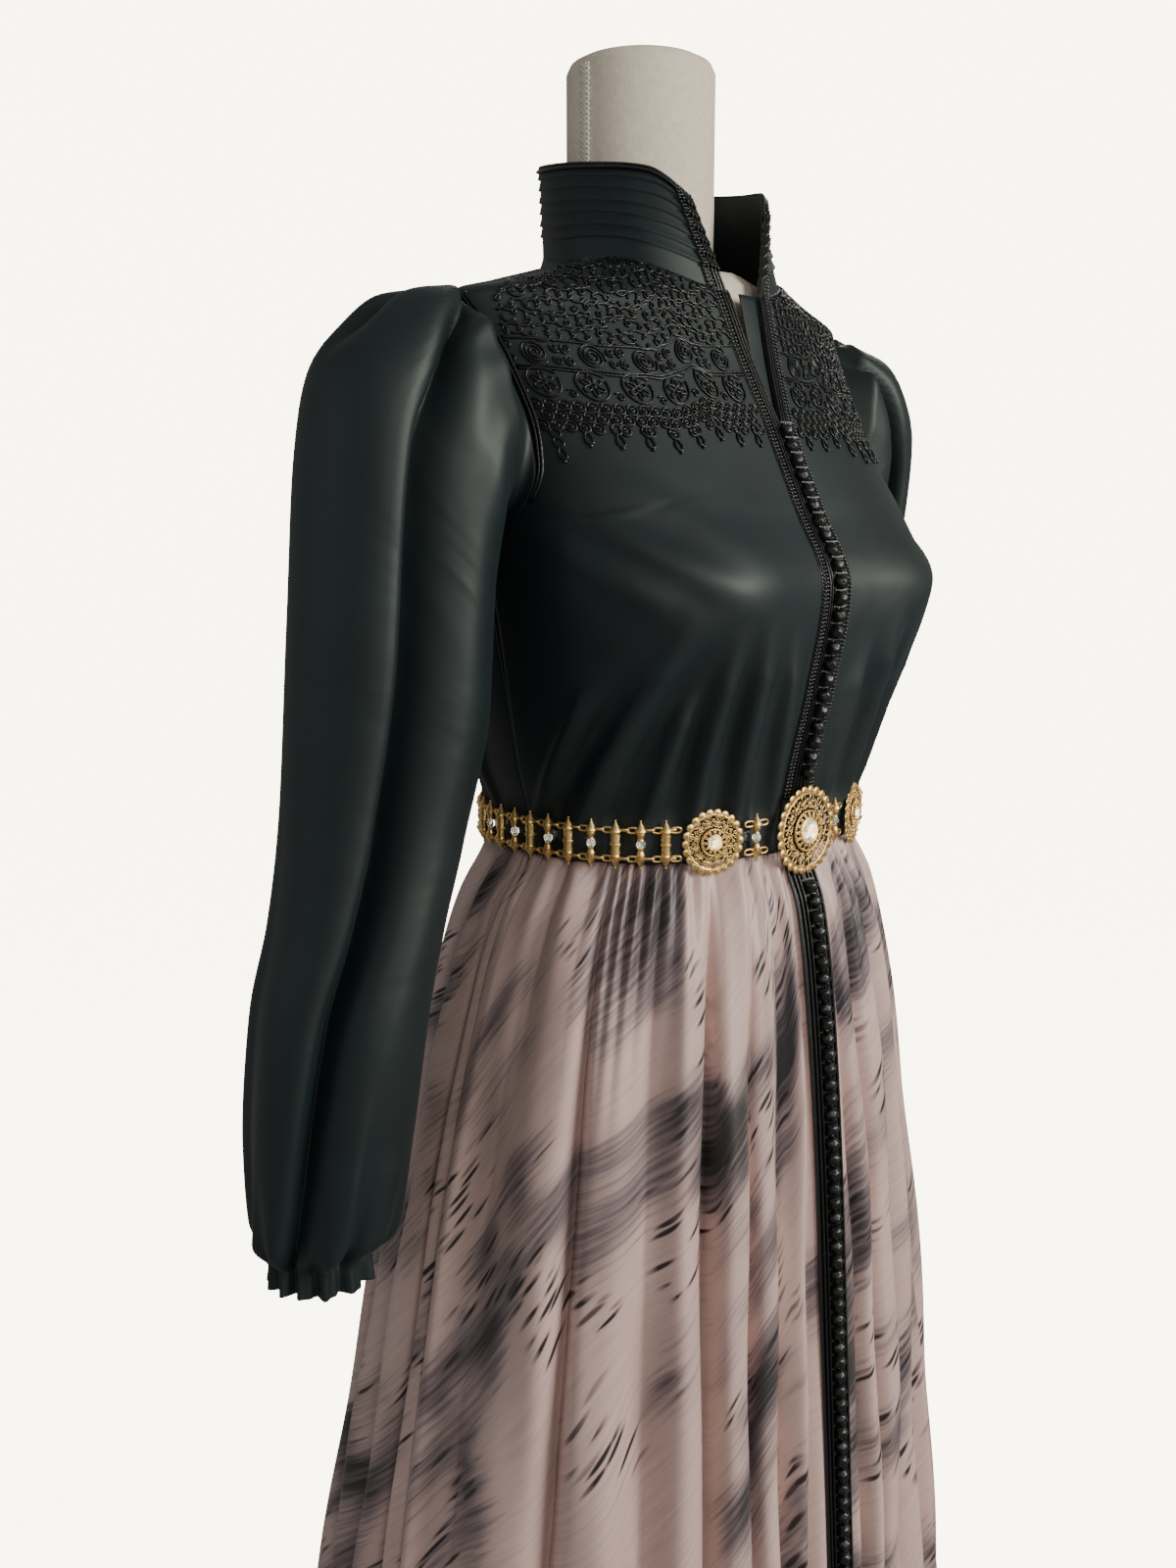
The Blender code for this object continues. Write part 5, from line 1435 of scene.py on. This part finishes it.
# %% Braids of the skirt
skirt_trim = {}
for side, points, out in (
    ("right", right_skirt, right_skirt_out),
    ("left", mirrored(left_skirt), mirrored(left_skirt_out)),
):
    base = points[:, :7] + STRIP_LIFT * out[:, :7]
    flat = np.stack(np.broadcast_arrays(
        np.linspace(0, SKIRT_BRAID_WIDTH, 7)[None, :] + 4.2, -downs[:, None],
    ), axis=-1)
    strip_cloth = cloth(
        "skirt_braid_base_" + side, base, flat, out[:, :7], soutache,
        ["braid_skirt_" + side],
    )
    lines = [points[:, k] + 1.5 * MM * out[:, k] for k in (0, 2, 4, 6)]
    edge_cords = cords("skirt_braid_cords_" + side, lines, 1.15 * MM, soutache)
    skirt_trim[side] = [strip_cloth, edge_cords]

# %% [markdown]
# ## The belt
#
# The belt is gilt filigree. Barrel spindles with pointed caps alternate with spindles that
# hold a glass bead, and short chain links join them in two rows. Spindles are turned, so
# each is a profile that is spun round its axis. The links are flat wire loops.

# %% Spindles and links
def spun(name, profile, steps=14):
    """A turned mesh from (radius, height) points, spun once round Z."""
    bm = bmesh.new()
    verts = [bm.verts.new((radius, 0, height)) for radius, height in profile]
    edges = [bm.edges.new(pair) for pair in zip(verts, verts[1:])]
    bmesh.ops.spin(
        bm, geom=verts + edges, cent=(0, 0, 0), axis=(0, 0, 1), angle=2 * math.pi, steps=steps,
        use_merge=True,
    )
    bmesh.ops.remove_doubles(bm, verts=bm.verts[:], dist=1e-6)
    bmesh.ops.recalc_face_normals(bm, faces=bm.faces[:])
    mesh = bpy.data.meshes.new(name)
    bm.to_mesh(mesh)
    bm.free()
    mesh.shade_smooth()
    mesh.set_sharp_from_angle(angle=math.radians(38))
    return mesh


def mirrored_profile(upper):
    """A profile from the top down, whose lower half mirrors the upper one."""
    return [(r * MM, h * MM) for r, h in upper] + [(r * MM, -h * MM) for r, h in reversed(upper)]


barrel = spun("barrel", mirrored_profile((
    (0.0, 16.6), (0.8, 16.3), (0.9, 15.6), (0.6, 15.1), (1.4, 13.6), (2.9, 11.2), (4.1, 9.4),
    (4.2, 8.6), (3.5, 8.3), (3.1, 7.8), (3.1, 6.2), (3.6, 6.0), (3.6, 5.2), (3.1, 5.0),
    (3.1, 1.3), (3.7, 0.9), (3.8, 0.4),
)))
bead_cap = spun("bead_cap", (
    (0.0, 16.6 * MM), (0.7 * MM, 16.3 * MM), (0.8 * MM, 15.6 * MM), (0.5 * MM, 15.1 * MM),
    (1.4 * MM, 13.4 * MM), (3.0 * MM, 10.8 * MM), (4.0 * MM, 9.2 * MM), (4.0 * MM, 8.5 * MM),
    (2.8 * MM, 7.8 * MM), (3.0 * MM, 6.4 * MM), (2.2 * MM, 5.0 * MM), (2.0 * MM, 3.6 * MM),
    (2.5 * MM, 2.7 * MM), (0.0, 2.4 * MM),
))
SPINDLE_PITCH, SMALL_ARC, LARGE_RADIUS, SMALL_RADIUS = 0.0160, 0.0760, 0.0315, 0.0228
MEDALLION_GAP, RAIL_UP = 0.0006, 9.6 * MM


def belt_line():
    """The waist's outline at the belt, once round from the centre front by the right."""
    side_y, square = bodice("side_y", 0.0), bodice("square", 0.0)
    share = np.sin(np.linspace(0, math.pi / 2, 400))
    x = bodice("half_width", 0.0) * share
    curve = (1 - share ** square) ** (1 / square)
    half = [
        np.stack([-x, side_y + (bodice(side, 0.0) - side_y) * curve, 0 * x], axis=-1)
        for side in ("front_y", "back_y")
    ]
    right = np.concatenate([half[0], half[1][:-1][::-1]])
    return np.concatenate([right, mirrored(right[:-1][::-1])])


waist = belt_line()
waist_length = length_of(waist)


def on_belt(arc, stand_off, up=0.0):
    """A frame on the belt: X along it, Y up and Z out of the body."""
    point = along(waist, np.mod(arc, waist_length))
    after = along(waist, np.mod(arc + 0.002, waist_length))
    before = along(waist, np.mod(arc - 0.002, waist_length))
    ahead = unit(after - before)
    out = unit(np.array([-ahead[1], ahead[0], 0.0]))
    out = out * np.sign(np.dot(out, point - [0, bodice("side_y", 0.0), 0]))
    up_axis = np.array([0.0, 0.0, 1.0])
    return frame_at(point + stand_off * out + [0, 0, up], np.cross(up_axis, out), up_axis, out)


print("the belt is", round(waist_length, 3), "m round")

# %% The chain of spindles
first = SMALL_ARC + SMALL_RADIUS + MEDALLION_GAP
count = round((waist_length / 2 - first) / SPINDLE_PITCH)
pitch = (waist_length / 2 - first) / count
link_middle = (LARGE_RADIUS + SMALL_ARC - SMALL_RADIUS) / 2
right_arcs = [first + (k + 0.5) * pitch for k in range(count)]
spindle_arcs = right_arcs + [waist_length - arc for arc in right_arcs]
stand_up = Matrix.Rotation(-math.pi / 2, 4, "X")
barrels, caps, stones = [], [], []
SPINDLE_OFF = 5.4 * MM
for k, arc in enumerate(spindle_arcs):
    place = on_belt(arc, SPINDLE_OFF)
    if k % count % 2 == 0:
        barrels.append(place @ stand_up)
    else:
        caps += [place @ stand_up, place @ stand_up @ Matrix.Rotation(math.pi, 4, "X")]
        stones.append(place)
for arc in (link_middle, waist_length - link_middle):
    place = on_belt(arc, SPINDLE_OFF - 0.6 * MM)
    caps += [place @ stand_up, place @ stand_up @ Matrix.Rotation(math.pi, 4, "X")]
    stones.append(place)
copies(
    "barrel_spindles", barrel, barrels, gilt, ["belt_chain_right", "belt_chain_left"],
)
copies(
    "bead_spindles", bead_cap, caps, gilt, ["belt_link_right", "belt_link_left"],
)
copies(
    "spindle_beads", ball("glass_bead", 3.1 * MM, 2), stones, crystal,
)

# %% Links between the spindles
def oval(length, height, points=14):
    turn = np.linspace(0, 2 * math.pi, points, endpoint=False)
    square = 0.75
    return np.stack([
        length * np.sign(np.cos(turn)) * np.abs(np.cos(turn)) ** square,
        height * np.sign(np.sin(turn)) * np.abs(np.sin(turn)) ** square, 0 * turn,
    ], axis=-1)


def placed(line, place):
    """A flat line of points carried to a frame."""
    return np.array([place @ Vector(point) for point in line])


link_lines = []
stations = sorted(spindle_arcs + [
    SMALL_ARC + SMALL_RADIUS - 0.001, waist_length - SMALL_ARC - SMALL_RADIUS + 0.001,
])
for start, end in zip(stations, stations[1:]):
    if end - start > 0.03:
        continue
    for up in (RAIL_UP, -RAIL_UP):
        for share in (0.32, 0.68):
            place = on_belt(start + share * (end - start), SPINDLE_OFF, up)
            tilt = Matrix.Rotation(1.2 if share > 0.5 else 0.2, 4, "X")
            link_lines.append(placed(oval(3.5 * MM, 1.9 * MM), place @ tilt))
for side in (1, -1):
    for near, far in (
        (LARGE_RADIUS - 0.001, link_middle), (link_middle, SMALL_ARC - SMALL_RADIUS + 0.001),
    ):
        for up in (RAIL_UP, -RAIL_UP):
            place = on_belt(side * (near + far) / 2, SPINDLE_OFF - 0.6 * MM, up)
            link_lines.append(placed(oval(3.9 * MM, 1.9 * MM), place))
belt_links = cords("belt_links", link_lines, 0.80 * MM, gilt, closed=True)

# %% [markdown]
# ## The medallions
#
# Three round medallions close the front of the belt. Each is open filigree: a scalloped
# rim of flat rounds, scrolls of wire between two hoops, almond loops round a raised
# boss, grains of gold, and a faceted stone in a claw setting. Each is drawn flat, with Z out
# of the body, and then carried to its place on the belt.

# %% Filigree wires
def hoop(radius, z, points=48):
    turn = np.linspace(0, 2 * math.pi, points, endpoint=False)
    return np.stack([radius * np.cos(turn), radius * np.sin(turn), np.full_like(turn, z)], axis=-1)


def turned(line, angle):
    cosine, sine = math.cos(angle), math.sin(angle)
    return line @ np.array([[cosine, sine, 0], [-sine, cosine, 0], [0, 0, 1]])


def scroll(radius, size, z, sense):
    """One wire spiral that curls away from a spoke, at a distance from the middle."""
    t = np.linspace(0, 1, 16)
    angle = sense * (math.pi * 0.5 + 2 * math.pi * 1.15 * t)
    reach = size * (1 - 0.72 * t)
    line = np.stack([
        radius + reach * np.cos(angle), reach * np.sin(angle), np.full_like(t, z),
    ], axis=-1)
    return line + [0, -sense * size * 1.05, 0]


def petal(inner, outer, half_width, low, high):
    """An almond loop that points away from the middle and rises towards it."""
    t = np.linspace(0, 2 * math.pi, 14, endpoint=False)
    along_it = 0.5 - 0.5 * np.cos(t)
    return np.stack([
        inner + (outer - inner) * along_it, half_width * np.sin(t) * (1 - 0.35 * along_it),
        high + (low - high) * along_it,
    ], axis=-1)


MEDALLION_COLUMNS = ("name", "arc", "radius", "stone", "low", "scallops", "spokes")
MEDALLIONS = (
    ("centre", 0.0, LARGE_RADIUS, 0.0088, 0.0088, 26, 16),
    ("right", SMALL_ARC, SMALL_RADIUS, 0.0052, 0.0041, 22, 12),
    ("left", -SMALL_ARC, SMALL_RADIUS, 0.0052, 0.0041, 22, 12),
)


def medallion(name, arc, radius, stone, low, scallops, spokes):
    """Wires, grains and stone of one medallion, carried to its place."""
    place = on_belt(arc, low + 1.2 * MM)
    rim, boss = 0.82 * radius, stone + 0.16 * radius
    scallop = math.pi * (radius - 0.075 * radius) / scallops
    heavy = cords(
        "filigree_hoops_" + name,
        [placed(hoop(rim, 0.4 * MM), place), placed(hoop(boss, 1.6 * MM), place)], 0.9 * MM, gilt,
        closed=True, replaced=["medallion_" + name],
    )
    loops, open_wires = [], []
    size = 0.30 * (rim - boss)
    for k in range(spokes):
        angle = 2 * math.pi * k / spokes
        for sense in (1, -1):
            for reach, share in ((0.74, 1.0), (0.34, 0.72)):
                far = scroll(boss + reach * (rim - boss), share * size, 0.4 * MM, sense)
                open_wires.append(turned(far, angle))
        loops.append(turned(
            petal(stone + 0.9 * MM, boss + 0.4 * MM, 0.8 * MM, 1.6 * MM, 3.0 * MM), angle,
        ))
    wires = cords(
        "filigree_loops_" + name, [placed(line, place) for line in loops], 0.44 * MM, gilt,
        closed=True,
    )
    scrolls = cords(
        "filigree_scrolls_" + name, [placed(line, place) for line in open_wires], 0.38 * MM, gilt,
    )
    rounds, grains = [], []
    for k in range(scallops):
        angle = 2 * math.pi * k / scallops
        reach = radius - scallop
        spot = (reach * math.cos(angle), reach * math.sin(angle), 0.2 * MM)
        rounds.append(place @ Matrix.Translation(spot))
    for count, reach, z in (
        (scallops, radius - scallop, 0.2 * MM + 0.5 * scallop), (2 * spokes, boss, 2.3 * MM),
        (spokes, stone + 1.6 * MM, 3.4 * MM), (spokes, 0.5 * (rim + boss), 0.9 * MM),
    ):
        for k in range(count):
            angle = 2 * math.pi * k / count
            spot = (reach * math.cos(angle), reach * math.sin(angle), z)
            grains.append(place @ Matrix.Translation(spot))
    edge = copies(
        "scallops_" + name, ball("scallop", 1.0 * scallop, 2, (1, 1, 0.28)), rounds, gilt,
    )
    granules = copies(
        "grains_" + name, ball("grain", 0.80 * MM, 1), grains, gilt,
    )
    return place, [heavy, wires, scrolls, edge, granules]


# %% Stones and their settings
def stone_mesh(radius):
    """A round brilliant: a flat table, a faceted crown and a shallow pavilion."""
    bm = bmesh.new()
    bmesh.ops.create_cone(
        bm, cap_ends=True, segments=16, radius1=radius, radius2=0.56 * radius, depth=0.36 * radius,
    )
    top = [face for face in bm.faces if face.normal.z > 0.9]
    made = bmesh.ops.inset_region(bm, faces=top, thickness=0.12 * radius, depth=0.03 * radius)
    bottom = [face for face in bm.faces if face.normal.z < -0.9]
    bmesh.ops.poke(bm, faces=bottom, offset=0.25 * radius)
    mesh = bpy.data.meshes.new("brilliant")
    bm.to_mesh(mesh)
    bm.free()
    return mesh


medallion_pieces = []
for values in MEDALLIONS:
    row = dict(zip(MEDALLION_COLUMNS, values))
    place, pieces = medallion(**row)
    radius = row["stone"]
    setting = spun("setting", (
        (1.10 * radius, 1.2 * MM), (1.16 * radius, 2.0 * MM), (1.12 * radius, 3.4 * MM),
        (1.02 * radius, 3.7 * MM), (0.96 * radius, 3.4 * MM), (0.90 * radius, 2.2 * MM),
        (0.0, 2.0 * MM),
    ), steps=28)
    pieces.append(copies("setting_" + row["name"], setting, [place], gilt))
    lift = Matrix.Translation((0, 0, 3.5 * MM + 0.18 * radius))
    cut = copies(
        "brilliant_" + row["name"], stone_mesh(radius * 0.95), [place @ lift], crystal,
        ["stone_" + row["name"]],
    )
    for face in cut.data.polygons:
        face.use_smooth = False
    medallion_pieces += pieces + [cut]
print(len(medallion_pieces), "pieces in the medallions")

# %% [markdown]
# ## The dress form
#
# The form is a padded torso and neck covered in linen, on a steel pole and a round painted
# base. Only the neck shows much. A narrow gimp braid covers its side seams. The torso keeps
# its solid's shape: a copy is merged into whole faces and smoothed.

# %% Neck, gimp, pole and base
NECK_RADIUS, NECK_MIDDLE_Y, NECK_FOOT_UP, NECK_TOP_UP = 0.0530, 0.023, 0.3820, 0.530


def lathe(name, profile, steps, middle_y, finish, replaced):
    """A turned piece in its place: (radius, height above the belt line) from the top."""
    made = spun(name, profile, steps)
    made.transform(Matrix.Translation((0, middle_y, BELT_Z)))
    return show(name, made, finish, replaced)


neck = lathe("linen_neck", (
    (0.0, NECK_TOP_UP), (0.60 * NECK_RADIUS, NECK_TOP_UP),
    (0.84 * NECK_RADIUS, NECK_TOP_UP - 0.0015),
    (0.95 * NECK_RADIUS, NECK_TOP_UP - 0.0045), (NECK_RADIUS, NECK_TOP_UP - 0.010),
    (NECK_RADIUS, NECK_FOOT_UP + 0.020), (1.01 * NECK_RADIUS, NECK_FOOT_UP + 0.008),
    (1.03 * NECK_RADIUS, NECK_FOOT_UP), (0.0, NECK_FOOT_UP),
), 72, NECK_MIDDLE_Y, linen, ["form_neck"])
floor_up = -BELT_Z
base = lathe("painted_base", (
    (0.0, floor_up + 0.018), (0.038, floor_up + 0.018), (0.110, floor_up + 0.0162),
    (0.163, floor_up + 0.0135), (0.182, floor_up + 0.0105), (0.189, floor_up + 0.0070),
    (0.190, floor_up + 0.0045), (0.1885, floor_up), (0.0, floor_up),
), 96, 0.0, bpy.data.materials.new("cream enamel"), ["form_base"])
pole = lathe("steel_pole", (
    (0.0, -0.2324), (0.016, -0.2324), (0.016, -1.0216), (0.0, -1.0216),
), 48, 0.0, bpy.data.materials.new("plated steel"), ["form_pole"])
for thing, colour, metallic, roughness in (
    (base, "#e3dccd", 0.0, 0.35), (pole, "#c9cacc", 1.0, 0.22),
):
    finish = thing.data.materials[0]
    finish.use_nodes = True
    tree = finish.node_tree
    shader = tree.nodes["Principled BSDF"]
    shader.inputs["Metallic"].default_value = metallic
    shader.inputs["Roughness"].default_value = roughness
    coords = add_node(tree, "ShaderNodeTexCoord")
    specks = add_node(tree, "ShaderNodeTexNoise", {
        "Vector": coords.outputs["Object"], "Scale": 1 / (3 * MM), "Detail": 2.0,
    })
    shade = add_node(tree, "ShaderNodeMix", {
        0: specks.outputs["Fac"], 6: linear(colour),
        7: [0.93 * part for part in linear(colour)[:3]] + [1.0],
    }, data_type="RGBA")
    tree.links.new(shade.outputs[2], shader.inputs["Base Color"])

# %% Torso
torso_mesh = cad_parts["form_torso"].data.copy()
bm = bmesh.new()
bm.from_mesh(torso_mesh)
bmesh.ops.remove_doubles(bm, verts=bm.verts[:], dist=1e-5)
bmesh.ops.join_triangles(
    bm, faces=bm.faces[:], angle_face_threshold=math.radians(60),
    angle_shape_threshold=math.radians(60),
)
bmesh.ops.smooth_vert(bm, verts=bm.verts[:], factor=0.12, use_axis_x=True, use_axis_y=True)
bm.to_mesh(torso_mesh)
bm.free()
torso_mesh.shade_smooth()
torso = show("linen_torso", torso_mesh, linen, ["form_torso"])

# %% Gimp on the neck's side seams
def gimp_lines(side):
    """Three wavy strands that cross each other down a side seam."""
    up = np.linspace(NECK_FOOT_UP + 0.006, NECK_TOP_UP - 0.011, 150)
    lines = []
    for phase, spread in ((0.0, 3.4), (math.pi, 3.4), (math.pi / 2, 1.2)):
        sway = spread * MM * np.sin(2 * math.pi * up / (6.5 * MM) + phase)
        angle = math.pi / 2 + sway / NECK_RADIUS
        reach = NECK_RADIUS + 1.0 * MM + 0.5 * MM * np.cos(4 * math.pi * up / (6.5 * MM) + phase)
        lines.append(np.stack([
            side * reach * np.sin(angle), NECK_MIDDLE_Y + reach * np.cos(angle), up,
        ], axis=-1))
    return lines


cords(
    "neck_gimp", gimp_lines(-1) + gimp_lines(1), 0.95 * MM, gimp,
)

# %% [markdown]
# ## What is cloth
#
# Each panel, with some of its trim, is passed to declare below, which records nothing.
# The measured areas above are those of the folded cloth, so they are the sizes that a
# cutter would need for what shows.

# %% Passing the cloth to declare, which records nothing
def declare(piece, pieces=()):
    list(pieces)


declare(front_cloth_right, trim_pieces["right"][:1])
declare(front_cloth_left, trim_pieces["left"][:1])
declare(back_cloth)
declare(sleeve_cloths[0])
declare(sleeve_cloths[1])
declare(collar_cloth, [collar_piping])
declare(collar_lining)
declare(front_facing)
declare(skirt_cloth_right)
declare(skirt_cloth_left)
declare(skirt_cloth_back)
for side in ("right", "left"):
    declare(trim_pieces[side][1])
    declare(skirt_trim[side][0])

# %% [markdown]
# ## The floor and the light
#
# The studio is plain: one pale floor that curves up into walls far away, a large soft
# light from the right of the camera, a weaker one from the left and a pale surrounding
# light that fills the shadows.

# %% Floor
bm = bmesh.new()
profile = [bm.verts.new(place) for place in (
    (0, 0, 0), (4.0, 0, 0), (8.0, 0, 0), (9.2, 0, 0.25), (10.0, 0, 0.9), (10.4, 0, 2.2),
    (10.6, 0, 8.0),
)]
edges = [bm.edges.new(pair) for pair in zip(profile, profile[1:])]
bmesh.ops.spin(
    bm, geom=profile + edges, cent=(0, 0, 0), axis=(0, 0, 1), angle=2 * math.pi, steps=64,
    use_merge=True,
)
bmesh.ops.remove_doubles(bm, verts=bm.verts[:], dist=1e-5)
floor_mesh = bpy.data.meshes.new("floor")
bm.to_mesh(floor_mesh)
bm.free()
floor_mesh.shade_smooth()
floor = bpy.data.objects.new("floor", floor_mesh)
bpy.context.scene.collection.objects.link(floor)
paper, tree, shader = new_finish("studio paper", {
    "Base Color": linear("#f8f5ee"), "Roughness": 0.95, "Specular IOR Level": 0.1,
    "Emission Color": linear("#fdf0da"), "Emission Strength": 8.5,
})
floor_mesh.materials.append(paper)
floor.visible_diffuse = floor.visible_glossy = floor.visible_shadow = False

# %% Light
world = bpy.data.worlds.new("studio")
bpy.context.scene.world = world
world.use_nodes = True
surround = world.node_tree.nodes["Background"]
surround.inputs["Color"].default_value = linear("#f9f6f0")
surround.inputs["Strength"].default_value = 0.23
LIGHT_COLUMNS = ("name", "right", "near", "up", "size", "watts", "colour")
LIGHTS = (
    ("window", 2.3, 1.4, 2.0, 1.5, 88.0, "#fffcf4"),
    ("fill", -2.4, 1.0, 1.7, 1.4, 5.0, "#dbe8ff"),
    ("front", 0.5, 2.6, 1.9, 0.7, 12.0, "#fffdf8"),
    ("back", 0.6, -2.2, 2.6, 1.2, 20.0, "#fffdf8"),
)
for values in LIGHTS:
    row = dict(zip(LIGHT_COLUMNS, values))
    lamp = bpy.data.lights.new(row["name"], "AREA")
    lamp.shape, lamp.size, lamp.energy = "DISK", row["size"], row["watts"]
    lamp.color = linear(row["colour"])[:3]
    thing = bpy.data.objects.new(row["name"], lamp)
    thing.location = (
        row["right"] * view_right - row["near"] * view_level + Vector((0, 0, row["up"]))
    )
    aim = Vector((0, 0, BELT_Z + 0.15)) - thing.location
    thing.rotation_euler = aim.to_track_quat("-Z", "Y").to_euler()
    bpy.context.scene.collection.objects.link(thing)
print(len(LIGHTS), "lights and a pale surround")
